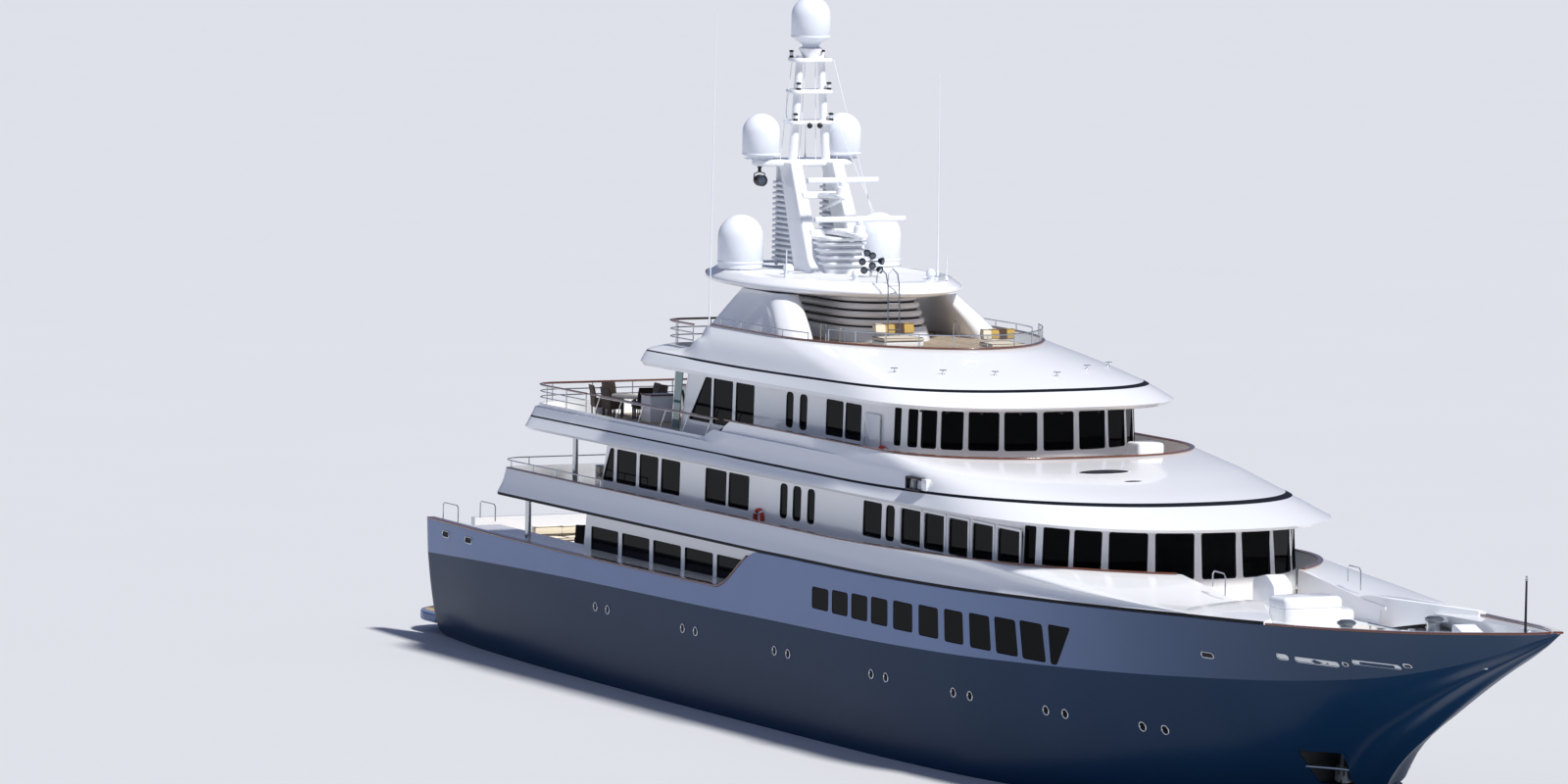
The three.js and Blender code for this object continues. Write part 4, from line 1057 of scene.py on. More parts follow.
SUN_LEVELS = [
    (-15.9, 4.8, 4.8, 5.6, 0.8, 2.6, SUN_UNDER + CLEAR),
    (-16.4, 5.5, 5.5, 6.1, 0.9, 2.8, lambda x: rise(x, -10, 3, 11.46, 11.55)),
    (-16.6, 5.68, 5.6, 6.2, 1.0, 2.8, lambda x: rise(x, -10, 3, 11.61, 11.69)),
    (-16.6, 3.95, 5.33, 6.0, 1.0, 2.8, lambda x: rise(x, -10, 3, 12.0, 12.16)),
    (-16.4, 1.7, 5.02, 6.4, 1.0, 2.4, lambda x: step(x, -13.6, 12.12, 12.65)),
    (-16.2, -0.6, 4.65, 7.0, 0.9, 2, sun_cap),
    (-16.1, -0.72, 4.53, 6.9, 0.9, 2, sun_cap),
    (-16.05, -0.8, 4.5, 6.9, 0.9, 2, SUN_FLOOR),
]
PLAIN = [(0, WHITE)]
SOFT = [(s / 4, WHITE) for s in range(4)]
STRIPED = [(0, WHITE), (0.3, WHITE), (0.6, WHITE), (0.85, "stripe_enamel")]


def lower_stripe(x):
    return "stripe_enamel" if x < 21.9 else WHITE


RAIL_INWARD = 0.06  # how far the rails stand in from the outlines


def rail_path(row, height, aft):
    """A deck's outline forward of an x, from port round to starboard, at a height."""
    ring = plan(*row[:6], height)
    port = [(x, max(y - RAIL_INWARD, 0), z) for x, y, z in ring[:len(ring) // 2 + 1] if x >= aft]
    return port + [(x, -y, z) for x, y, z in port[-2::-1]]


def build_decks():
    rings = [plan(*row) for row in UPPER_LEVELS]
    pit = Form().block((15.9, -WELL, UPPER_FLOOR), (23.5, WELL, 9), WHITE, 0.15, 0.001)
    make(deck_skin(rings, [PLAIN, PLAIN, [(0, lower_stripe)], SOFT, SOFT, PLAIN, PLAIN]),
         "upper_deck_shell", stands_for=["upper_deck"], cut=pit)

    rings = [plan(*row) for row in BRIDGE_LEVELS]
    # The raised side has a ledge outside an upright bulwark, and runs out into the brow
    ledge = [mix(p, (q[0], q[1], p[2] + 0.015), rise(p[0], -1.6, 0, 1, 0))
             for p, q in zip(rings[4], rings[5])]
    rings.insert(5, ledge)
    make(deck_skin(rings, [PLAIN, PLAIN, STRIPED, SOFT, PLAIN, PLAIN, PLAIN, PLAIN]),
         "bridge_deck_shell", stands_for=["bridge_deck"])

    rings = [plan(*row) for row in SUN_LEVELS]
    make(deck_skin(rings, [PLAIN, PLAIN, STRIPED, SOFT, SOFT, PLAIN, PLAIN]),
         "sun_deck_shell", stands_for=["sun_deck"])

    upper, bridge, sun = (rail_path(levels[5], lambda x: cap(x) + 0.03, aft) for levels, cap, aft in
                          ((UPPER_LEVELS, upper_cap, -26.0), (BRIDGE_LEVELS, lambda x: BRIDGE_CAP, -9.3),
                           (SUN_LEVELS, lambda x: SUN_CAP, -12.3)))
    # The foredeck pit breaks the upper deck's rail
    paths = [bridge, sun] + [[p for p in upper if side * p[1] > WELL + 0.1] for side in BOTH]
    grown("deck_cap_rails", "moulding", paths, "teak", "varnished_teak", width=0.17, height=0.06)
    row, z = BRIDGE_LEVELS[7], BRIDGE_FLOOR
    kerb = ((0.002, z - 0.01), (0.002, z + 0.03), (0.16, z + 0.02), (0.16, z - 0.01))
    waterway = Form().stepped(flat(plan(*row[:6], z)), kerb, upright, WHITE, wrap=True)
    make(waterway, "deck_waterways")


# Deckhouses

# Levels have the columns of the decks' levels. side and tall hold windows as aft x, fore x and the lean of
# the aft edge; front holds them as headings in degrees from the house's heart, and bow is half the heading
# that the foremost one takes up
HOUSES = {
    "main": {
        "levels": [(-22.4, -6.9, 4.7, 0.3, 0.3, 2, MAIN_FLOOR),
                   (-22.0, -6.9, 4.7, 0.3, 0.3, 2, UPPER_UNDER)],
        "sill": 4.0, "head": 5.2,
        "side": [(-21.4, -19.2), (-18.9, -16.7), (-16.4, -14.2), (-13.9, -11.7), (-11.4, -9.2)],
    },
    "upper": {
        "levels": [(-20.6, 15.4, 5.0, 5.6, 0.5, 2.2, UPPER_FLOOR),
                   (-20.0, 15.2, 4.95, 5.6, 0.5, 2.2, BRIDGE_UNDER)],
        "sill": 7.0, "head": 8.2,
        "side": [(-20.0, -19.1, 0.6), (-18.86, -17.29), (-17.05, -15.56), (-15.32, -13.83),
                 (-11.86, -10.23), (-10.06, -8.5), (-6.15, -5.6), (-5.2, -4.58), (-4.12, -3.57),
                 (-0.03, 1.3), (1.6, 2.23), (2.71, 4.12), (4.36, 5.77), (6.08, 7.42), (7.73, 9.14),
                 (9.46, 10.95)],
        "front": [(7.8, 19.2), (21.3, 32.6), (34.7, 43.7), (45.3, 55.6), (58.7, 64.4)],
        "front_sill": 6.96, "front_head": 8.46, "bow": 5.6, "heart": 8.7,
    },
    "bridge": {
        "levels": [(-15.0, 4.55, 4.65, 4.6, 0.5, 2.3, BRIDGE_FLOOR),
                   (-14.4, 4.4, 4.6, 4.6, 0.5, 2.3, SUN_UNDER)],
        "sill": 10.08, "head": 11.31,
        "side": [(-6.5, -5.96), (-5.49, -4.93), (-3.53, -2.27), (-2.12, -0.95)],
        "tall": [(-13.9, -12.2, 1.25), (-12.04, -10.55), (-10.32, -8.91)], "tall_sill": 9.7,
        "front": [(10.0, 24.3), (26.3, 38.8), (40.8, 50.2), (52, 59.2), (60.8, 66.0), (69.8, 74.0)],
        "front_sill": 10.14, "front_head": 11.44, "bow": 7.3, "heart": -0.1,
    },
}
DOORWAY = 1.35


def wall_point(house, heading, z, inward=0.0):
    """Where a line from the house's heart at a heading meets its wall, in degrees from the bow."""
    low, high = house["levels"]
    share = (z - low[6]) / (high[6] - low[6])
    outline = [mix(p, q, share) for p, q in zip(plan(*low), plan(*high))]
    a = math.radians(heading)
    for p, q in zip(outline, outline[1:]):
        cross = [(x - house["heart"]) * math.sin(a) - y * math.cos(a) for x, y, _ in (p, q)]
        if cross[0] * cross[1] <= 0 and (p[0] - house["heart"]) * math.cos(a) + p[1] * math.sin(a) > 0:
            x, y, _ = mix(p, q, cross[0] / (cross[0] - cross[1]) if cross[0] != cross[1] else 0)
            reach = math.hypot(x - house["heart"], y) - inward
            return (house["heart"] + reach * math.cos(a), reach * math.sin(a))
    raise RuntimeError(f"no wall at heading {heading}")


def windows_of(house, radius):
    """Every window as a function that gives its outline at a depth inside the wall."""
    def upright_pane(outline, side):
        half = (house["levels"][0][2] + house["levels"][1][2]) / 2
        return lambda inward, shrink: [(x, side * (half - inward), z) for x, z in inset(outline, shrink)]

    def angled_pane(start, end):
        low, high = house["front_sill"], house["front_head"]
        p, q = (Vector(wall_point(house, heading, (low + high) / 2)) for heading in (start, end))
        wide = (q - p).length
        out = Vector(((q - p).y, -(q - p).x)).normalized()
        if out.dot(p - Vector((house["heart"], 0))) < 0:
            out = -out
        outline = block_outline(0, wide, low, high, radius)
        return lambda inward, shrink: [(*(p + (q - p) * (s / wide) - out * inward), z)
                                       for s, z in inset(outline, shrink)]

    found = []
    rows = [(row, house["sill"]) for row in house["side"]]
    rows += [(row, house["tall_sill"]) for row in house.get("tall", ())]
    for (aft, fore, *lean), sill in rows:
        corners = [(aft, sill), (fore, sill), (fore, house["head"]), (aft + sum(lean), house["head"])]
        outline = rounded(corners, 0.2 if fore - aft < 0.7 else radius)
        found += [upright_pane(outline, side) for side in BOTH]
    for start, end in house.get("front", ()):
        found += [angled_pane(sign * start, sign * end) for sign in BOTH]
    if "bow" in house:
        found.append(angled_pane(-house["bow"], house["bow"]))
    return found


def build_houses(sizes):
    for name, house in HOUSES.items():
        low, high = house["levels"]
        aft, floor = low[0], low[6]
        outer = [plan(*low[:6], floor + CLEAR), plan(*high[:6], high[6] - CLEAR)]
        inner = [plan(*(v + d * WALL for v, d in zip(level[:5], (1, -1, -1, 0, -0.5))), level[5], z)
                 for level, z in ((high, high[6] - CLEAR), (low, floor + CLEAR))]
        walls = Form().loft([*outer, *inner], WHITE, wrap=True)
        cuts, panes, seals = Form(), Form(), Form()
        for at in windows_of(house, sizes.window_radius):
            cuts.loft([at(-0.35, 0), at(0.5, 0)], "black_rubber")
            panes.loft([at(0.075, 0.004), at(0.045, 0.004), at(0.04, 0.016)], "tinted_glass")
            seals.loft([at(0.045, 0.002), at(0.022, 0.002), at(0.022, 0.024), at(0.042, 0.03)],
                       "black_rubber", wrap=True)
        doorways = [(aft - 1, aft + 1.6, -DOORWAY, DOORWAY, -0.5, 2.1)]
        if name == "bridge":
            doorways += [(-0.5, 0.4, *sorted((side * 3.9, side * 5.2)), 0.12, 2.05) for side in BOTH]
        for x0, x1, y0, y1, z0, z1 in doorways:
            cuts.block((x0, y0, floor + z0), (x1, y1, floor + z1), WHITE, 0.03, 0.01)
        make(walls, f"{name}_house_walls", stands_for=[f"{name}_house"], cut=cuts)
        make(panes, f"{name}_house_panes", slot="dark_glass", stands_for=[f"{name}_glass"], angle=12)
        make(seals, f"{name}_house_seals", slot="black_paint")
    # The main house runs on into the hull, which closes the side decks' fore ends
    trunk = Form().block((-6.92, -4.69, MAIN_FLOOR), (-5.95, 4.69, UPPER_UNDER), WHITE, 0.02, 0.001)
    for side in BOTH:
        low, high = sorted((side * 4.6, side * 6.0))
        trunk.block((-6.15, low, MAIN_FLOOR), (-5.9, high, UPPER_UNDER), WHITE, 0.02, 0.001)
    make(trunk, "main_house_trunk")
    # White frames that stand proud round the five wide windows of the upper saloon
    frames = Form()
    for aft, fore in HOUSES["upper"]["side"][-5:]:
        for side in BOTH:
            frames.stepped(block_outline(aft - 0.1, fore + 0.1, 6.9, 8.3, 0.1),
                           ((0, 0), (0, 0.035), (0.02, 0.05), (0.08, 0.05), (0.095, 0.03), (0.095, 0)),
                           lambda x, z, out: (x, side * (4.965 + out), z), WHITE, wrap=True)
    make(frames, "saloon_window_frames")
    glass = Form()
    pane = rounded([(-15.05, 9.3), (-14.55, 9.3), (-14.25, 11.35), (-14.8, 11.35)], 0.06)
    for side in BOTH:
        glass.loft([[(x, side * y, z) for x, z in pane] for y in (4.68, 4.71)], "green_glass")
        glass.tube([(-15.08, side * 4.69, 8.96), (-14.82, side * 4.69, 11.48)], 0.035, STEEL)
    make(glass, "wind_shelter_glass", slot="dark_glass")


# Doors

def handle(form, x, y, z, tall, out_x, out_y, radius, bend=0.03, sides=10):
    """An upright bar handle that stands off a door along X or Y."""
    return form.tube([(x, y, z), (x + out_x, y + out_y, z + bend), (x + out_x, y + out_y, z + tall - bend),
                      (x, y, z + tall)], radius, STEEL, sides)


def glazed_door(low, high, side):
    """A glazed leaf in a steel frame, with a handle on each face."""
    leaf, pull = Form(), Form()
    outline = block_outline(low.y, high.y, low.z, high.z, 0.03)
    leaf.stepped(outline, ((0, low.x), (0, high.x), (0.09, high.x), (0.09, low.x)), lengthways,
                 "brushed_steel", wrap=True)
    leaf.stepped(inset(inset(outline, 0.09), -0.004), ((0, low.x + 0.018), (0, high.x - 0.018)),
                 lengthways, "tinted_glass")
    for x, out in ((low.x, -0.045), (high.x, 0.045)):
        handle(pull, x, side * 0.09, low.z + 0.85, 0.53, out, 0, 0.016)
    return leaf, pull


def plain_door(low, high, side):
    """A white leaf with a handle on its outer face."""
    outline = block_outline(low.x, high.x, low.z, high.z, 0.08)
    return (Form().slab(outline, low.y, high.y, WHITE, 0.012, sideways),
            handle(Form(), low.x + 0.14, max(low.y, high.y, key=abs), low.z + 0.95, 0.38, 0, side * 0.05,
                   0.018))


def build_doors():
    """The sliding doors of the saloons and of the wheelhouse."""
    kinds = dict.fromkeys(("main", "upper", "bridge"), (glazed_door, "dark_glass"))
    kinds["wheelhouse"] = (plain_door, "white_paint")
    for deck, (kind, slot) in kinds.items():
        for label, side in SIDES:
            solid = f"{deck}_door_{label}"
            low, high = (Vector(corner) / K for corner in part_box(solid))
            leaf, pull = kind(low, high, side)
            make(leaf, f"{deck}_door_leaf_{label}", f"{solid}_body", slot, [solid])
            make(pull, f"{deck}_door_pull_{label}", f"{solid}_body", "steel")


# The structure above the sun deck

HARDTOP_X = -12.05
ON_HARDTOP = 14.94  # the feet of its fittings, sunk a little into it
# The louvre house at its foot and its head; columns as in the decks' levels, without the height
LOUVRE_FOOT, LOUVRE_HEAD = (-13.4, -6.2, 1.9, 2.2, 0.6, 2.4), (-13.2, -7.6, 1.55, 1.8, 0.5, 2.4)
LOUVRE_SILL, LOUVRE_TOP = 13.3, 14.4
# The port arch's outlines in x and y, at three heights
ARCH = (
    (SUN_FLOOR + CLEAR, [(-14.9, 4.25), (-14.6, 4.4), (-8.6, 4.3), (-8.2, 4.32), (-7.4, 4.42),
                         (-6.5, 4.2), (-6.2, 3.8), (-6.6, 3.3), (-8.0, 3.4), (-14.6, 3.85)]),
    (13.1, [(-13.8, 3.82), (-13.5, 3.94), (-9.1, 3.9), (-8.9, 3.95), (-8.1, 4.22), (-7.3, 4.0),
            (-6.95, 3.6), (-7.4, 3.1), (-8.6, 3.1), (-13.5, 3.45)]),
    (14.399, [(-12.6, 3.3), (-12.3, 3.4), (-10.9, 3.4), (-10.7, 3.42), (-9.9, 3.5), (-9.2, 3.3),
              (-9.0, 3.0), (-9.3, 2.7), (-10.3, 2.8), (-12.3, 2.95)]),
)
# Ovals of the hardtop; columns: half-length, half-breadth, height
HARDTOP = ((5.5, 3.2, 14.4), (6.1, 3.8, 14.5), (6.2, 3.9, 14.68), (5.7, 3.6, HARDTOP_TOP - 0.02))
# Loudhailers and floodlights clustered on a short post; columns: y, z, and how far each looks to port
POST_X = -9.2
POST_LAMPS = ((-0.3, 15.2, -0.5), (0.3, 15.2, 0.5), (-0.36, 15.5, -0.7), (0.36, 15.5, 0.7),
              (0, 15.35, 0), (0, 15.7, 0), (-0.2, 15.8, -0.3))
# Small aerials and sensors on the hardtop; columns: x and y, then the height or the radius
AERIALS = ((-9.8, -3.0, 0.95), (-7.2, 1.9, 0.85), (-15.6, 0.7, 0.8), (-16.3, -1.4, 0.5))
SENSORS = ((-11.0, -2.3, 0.2), (-7.6, 1.5, 0.17), (-7.9, -1.3, 0.12), (-16.6, 1.2, 0.16))


def smooth_rings(rings, steps=6):
    """More rings between a few, along a smooth curve."""
    return [between(rings, i, s / steps, i, i + 2 < len(rings))
            for i in range(len(rings) - 1) for s in range(steps)] + [rings[-1]]


def oval(x, long, wide, z, steps=72):
    return [(x + long * math.cos(a), wide * math.sin(a), z) for a in turns(steps)]


def louvre_ring(z, inward=0.0):
    """The louvre house's outline at a height."""
    share = (z - SUN_FLOOR) / (LOUVRE_TOP - SUN_FLOOR)
    row = [lerp(a, b, share) for a, b in zip(LOUVRE_FOOT, LOUVRE_HEAD)]
    return plan(row[0] + inward, row[1] - inward, row[2] - inward, *row[3:], z, 10, 16)


def build_louvre_house(pitch):
    body = Form().loft([louvre_ring(SUN_FLOOR + CLEAR), louvre_ring(12.0), louvre_ring(LOUVRE_SILL),
                        louvre_ring(LOUVRE_SILL + 0.04, 0.03)], WHITE)
    # A black core behind the slats: painted shade in the gaps between them
    body.loft([louvre_ring(LOUVRE_SILL, 0.12), louvre_ring(LOUVRE_TOP - 0.005, 0.12)], BLACK)
    make(body, "louvre_house", stands_for=["sun_house"])
    slats = [louvre_ring(LOUVRE_SILL + 0.2 + pitch * i, 0.08) for i in range(int(0.9 / pitch) + 1)]
    grown("louvre_house_slats", "moulding", [ring + ring[:1] for ring in slats], slot="white_paint",
          width=0.2, height=pitch * 0.8, finish=WHITE)


def hardtop_fittings():
    form = Form()
    for y in (-1.12, -0.68):
        form.tube([(-5.7, y, 11.9), (-5.8, y, 14.9), (-5.95, y, 15.3), (-6.3, y, 15.45), (-6.6, y, 15.25),
                   (-6.65, y, ON_HARDTOP)], 0.022, STEEL, 8)
    form.tube([(POST_X, 0, ON_HARDTOP), (POST_X, 0, 15.75)], 0.05, STEEL)
    for y, z, aim in POST_LAMPS:
        foot, way = (POST_X + 0.05, y, z), (1, aim, -0.15)
        form.turned(foot, ((0, -0.1), (0.07, -0.09), (0.12, 0), (0.125, 0.08), (0.105, 0.09), (0.1, 0.06)),
                    BLACK, 20, way)
        form.turned(foot, ((0.1, 0.05), (0.1, 0.07), (0.05, 0.085), (0, 0.09)), "dark_lens", 20, way)
        form.tube([(POST_X, 0, z - 0.02), foot], 0.02, STEEL, 6)
    for x, y, tall in AERIALS:
        form.turned((x, y, ON_HARDTOP), ((0, 0), (0.07, 0), (0.07, 0.1), (0.03, 0.14), (0.018, tall),
                                         (0, tall + 0.01)), GELCOAT, 12)
    for x, y, r in SENSORS:
        form.turned((x, y, ON_HARDTOP), ((0, 0), (r * 0.7, 0), (r * 0.8, 0.12), (r, 0.16), (r * 0.97, 0.26),
                                         (r * 0.6, 0.36), (0, 0.39)), GELCOAT, 20)
    return form


def build_top(sizes):
    build_louvre_house(sizes.louvre_pitch)
    for label, side in SIDES:
        rings = [[(x, side * y, z) for x, y in rounded(points, 0.5, 5)] for z, points in ARCH]
        make(Form().loft(smooth_rings(rings, 8), WHITE), f"arch_shell_{label}", stands_for=[f"arch_{label}"])
    rings = smooth_rings([oval(HARDTOP_X, *size) for size in HARDTOP], 5)
    rings.append(oval(HARDTOP_X, 5.2, 3.15, HARDTOP_TOP))
    make(Form().loft(rings, WHITE, caps=(WHITE, "deck_paint")), "hardtop_shell", stands_for=["hardtop"])
    stripes = [[(HARDTOP_X + 6.185 * math.cos(a), side * 3.885 * math.sin(a), 14.7)
                for a in (math.radians(128 + 3 * s) for s in range(12))] for side in BOTH]
    grown("hardtop_stripes", "moulding", stripes, slot="black_paint", width=0.03, height=0.07,
          finish="stripe_enamel")
    make(hardtop_fittings(), "hardtop_fittings", slot="steel")
    grown("ladder_rungs", "slats", [[(-5.71, -0.9, 12.2), (-5.8, -0.9, 14.9)]], pitch=0.3,
          size=(0.03, 0.44, 0.03))


# Domes

# Columns: solid, place, foot's height, radius, height; then as shares of the radius: the seam's height,
# the skirt's radius at its foot, and the neck's height
DOMES = (("big_dome_port", -13.86, 2.73, HARDTOP_TOP, 0.8, 1.9, 0.34, 0.96, 0.03),
         ("big_dome_starboard", -13.86, -2.73, HARDTOP_TOP, 0.8, 1.9, 0.34, 0.96, 0.03),
         ("mast_dome_port", -14.6, 1.61, 18.741, 0.66, 1.6, 0.32, 0.8, 0.12),
         ("mast_dome_starboard", -14.6, -1.61, 18.741, 0.66, 1.6, 0.32, 0.8, 0.12),
         ("top_dome", -14.05, 0.0, 22.661, 0.69, 1.82, 0.64, 0.46, 0.18))


def build_domes():
    for name, x, y, foot, radius, tall, *shares in DOMES:
        seam, skirt, neck = (share * radius for share in shares)
        profile = [(0, 0.001), (skirt * 0.92, 0.001), (skirt * 0.92, neck), (skirt, neck + 0.01),
                   (radius * 0.985, seam - 0.06), (radius * 1.012, seam - 0.05),
                   (radius * 1.012, seam - 0.005), (radius * 0.992, seam), (radius * 0.992, seam + 0.02),
                   (radius, seam + 0.028), (radius, tall - radius)]
        profile += [(radius * math.cos(a), tall - radius + radius * math.sin(a))
                    for a in (math.radians(7.5 * s) for s in range(1, 12))] + [(0, tall)]
        make(Form().turned((x, y, foot), profile, GELCOAT, 64), f"{name}_shell", slot="dome_plastic",
             stands_for=[name], angle=50)
        bolts, reach = Form(), skirt + 0.02
        for a in turns(12):
            bolts.turned((x + reach * math.cos(a), y + reach * math.sin(a), foot),
                         ((0, 0), (0.03, 0), (0.03, 0.03), (0, 0.035)), STEEL, 6)
        make(bolts, f"{name}_bolts", slot="steel")


# The mast

MAST_X = -14.05
LEG_TOP = 18.66
PLATFORMS = ((20.06, 0.92), (21.14, 0.84), (22.25, 0.78))  # height and half-breadth
# Columns: name, x and z of the scanner's axis and foot, x of its arm's root, half its length
RADARS = (("upper", -11.45, 18.07, -13.2, 1.4), ("lower", -10.1, 16.8, -12.55, 1.79))
# Masthead lamps in pairs; columns: x, y, z, radius
LAMPS = ((-13.75, 0.7, 20.13, 0.09), (-13.75, 0.6, 21.21, 0.09), (-14.3, 0.62, 22.32, 0.08))
# Rod aerials; columns: x, y, z, height
RODS = ((-14.3, 0.78, 20.13, 1.1), (-14.3, -0.78, 20.13, 0.9), (-14.35, 0.5, 22.32, 0.6),
        (-14.2, 1.2, 18.74, 1.4), (-14.9, 0.3, 18.74, 1.2))
# Taut halyards and stays, each between its two ends
LINES = (((-14.05, 0.85, 20.06), (-14.5, 1.0, 18.7)), ((-14.05, -0.72, 22.2), (-14.3, -1.0, 18.7)),
         ((-14.05, -0.2, 22.2), (-14.2, -0.3, 18.7)), ((-14.05, 0.2, 22.2), (-14.0, 0.25, 18.7)),
         ((-13.7, 0.75, 22.25), (-10.9, 1.5, 15.0)), ((-13.7, 0.9, 20.1), (-11.2, 2.1, 15.0)))
SEARCHLIGHT = (-14.5, -1.7, 18.499)
SLATS_Y = 0.93  # how far the mast's slats are from its centreline


def leg_ring(side, share):
    """The mast leg's section at a share of its height, with its foot flared forwards."""
    flare = 0.22 * max(1 - share / 0.16, 0) ** 2
    x, y, z = mix((-12.1, 0.95, HARDTOP_TOP + CLEAR), (-13.85, 0.82, LEG_TOP), share)
    long, wide = lerp(0.66, 0.5, share), lerp(0.26, 0.23, share)
    outline = block_outline(x - long, x + long + flare, y - wide, y + wide, 0.12, 6)
    return [(a, side * b, z) for a, b in outline]


def leg_aft(z):
    return lerp(-12.72, -14.27, (z - HARDTOP_TOP) / (LEG_TOP - HARDTOP_TOP))


def mast_frame():
    form = Form()
    for side in BOTH:
        form.loft([leg_ring(side, s / 24) for s in range(25)], WHITE)
        form.tube([(-14.0, side * 0.66, LEG_TOP), (MAST_X, side * 0.41, 22.4)], [0.16, 0.13], WHITE, 20)
    form.slab(flat(oval(-14.5, 0.75, 1.98, 0)), 18.5, 18.74, WHITE, 0.08)
    for z, half in PLATFORMS:
        form.slab(block_outline(-14.45, -13.65, -half, half, 0.3, 6), z - 0.07, z + 0.07, WHITE, 0.03)
    form.turned((MAST_X, 0, 22.2), ((0, 0), (0.28, 0), (0.3, 0.05), (0.3, 0.2), (0.42, 0.42), (0.42, 0.46),
                                    (0, 0.46)), WHITE)
    for _, x, z, arm, _ in RADARS:
        nose = flat(plan(arm, x + 0.3, 0.3, 0.3, 0.1, 2, 0, 6, 10))
        form.slab(nose, z - 0.55, z - 0.4, WHITE, 0.03)
        form.slab(block_outline(arm, arm + 0.5, -0.9, 0.9, 0.1), z - 0.62, z - 0.38, WHITE, 0.04)
        form.turned((x, 0, z - 0.45), ((0, 0), (0.24, 0), (0.22, 0.06), (0.2, 0.3), (0.16, 0.345),
                                       (0, 0.345)), WHITE)
        form.tube([(x + 0.1, 0, z - 0.55), (arm + 0.35, 0, z - 1.0)], 0.06, WHITE)
    # The rounded housing between the legs' feet
    form.loft([[(x, y, z) for x, y in block_outline(-12.6, -10.75 - inward, -0.78, 0.78, 0.7, 8)]
               for z, inward in ((HARDTOP_TOP + CLEAR, 0), (15.1, 0), (15.12, 0.14), (16.1, 0.14))],
              WHITE)
    return form.slab(block_outline(-12.7, -10.7, -0.86, 0.86, 0.75, 8), 16.08, 16.2, WHITE, 0.04)


def mast_small_parts():
    form = Form()
    for x, y, z, r in LAMPS:
        for side in BOTH:
            foot = (x, side * y, z)
            form.turned(foot, ((0, 0), (r, 0), (r, 0.05), (r * 0.8, 0.07)), BLACK, 16)
            form.turned(foot, ((r * 0.8, 0.05), (r * 0.8, 0.2), (r * 0.5, 0.24), (0, 0.25)), "lamp_glass",
                        16)
            form.turned((x, side * y, z + 0.2), ((0, 0), (r, 0), (r, 0.05), (0, 0.07)), BLACK, 16)
    for x, y, z, tall in RODS:
        form.turned((x, y, z), ((0, 0), (0.035, 0), (0.035, 0.12), (0.014, 0.16), (0.008, tall), (0, tall)),
                    GELCOAT, 10)
    for side in (-1, 1):
        form.ball((-13.62, side * 0.2, 19.95), (0.1, 0.1, 0.1), BLACK, 10)
        form.tube([(-13.62, side * 0.2, 19.95), (-13.75, side * 0.2, 20.0)], 0.03, BLACK, 8)
    for line in LINES:
        form.tube(line, 0.014, GELCOAT, 5)
    return form


def searchlight():
    form = Form()
    x, y, z = SEARCHLIGHT
    form.turned((x, y, z), ((0, 0), (0.09, 0), (0.09, -0.04), (0.06, -0.06), (0.06, -0.22), (0, -0.22)),
                BLACK, 20)
    for side in (-1, 1):
        form.tube([(x, y, z - 0.2), (x, y + side * 0.2, z - 0.26), (x, y + side * 0.22, z - 0.5)], 0.022,
                  BLACK, 8)
    for profile, finish in ((((0, 0), (0.1, 0.01), (0.17, 0.08), (0.2, 0.2), (0.2, 0.46), (0.18, 0.47),
                              (0.17, 0.42)), BLACK),
                            (((0.17, 0.4), (0.17, 0.43), (0.1, 0.45), (0, 0.455)), "dark_lens")):
        form.turned((x - 0.22, y, z - 0.5), profile, finish, 28, (1, 0, 0))
    return form


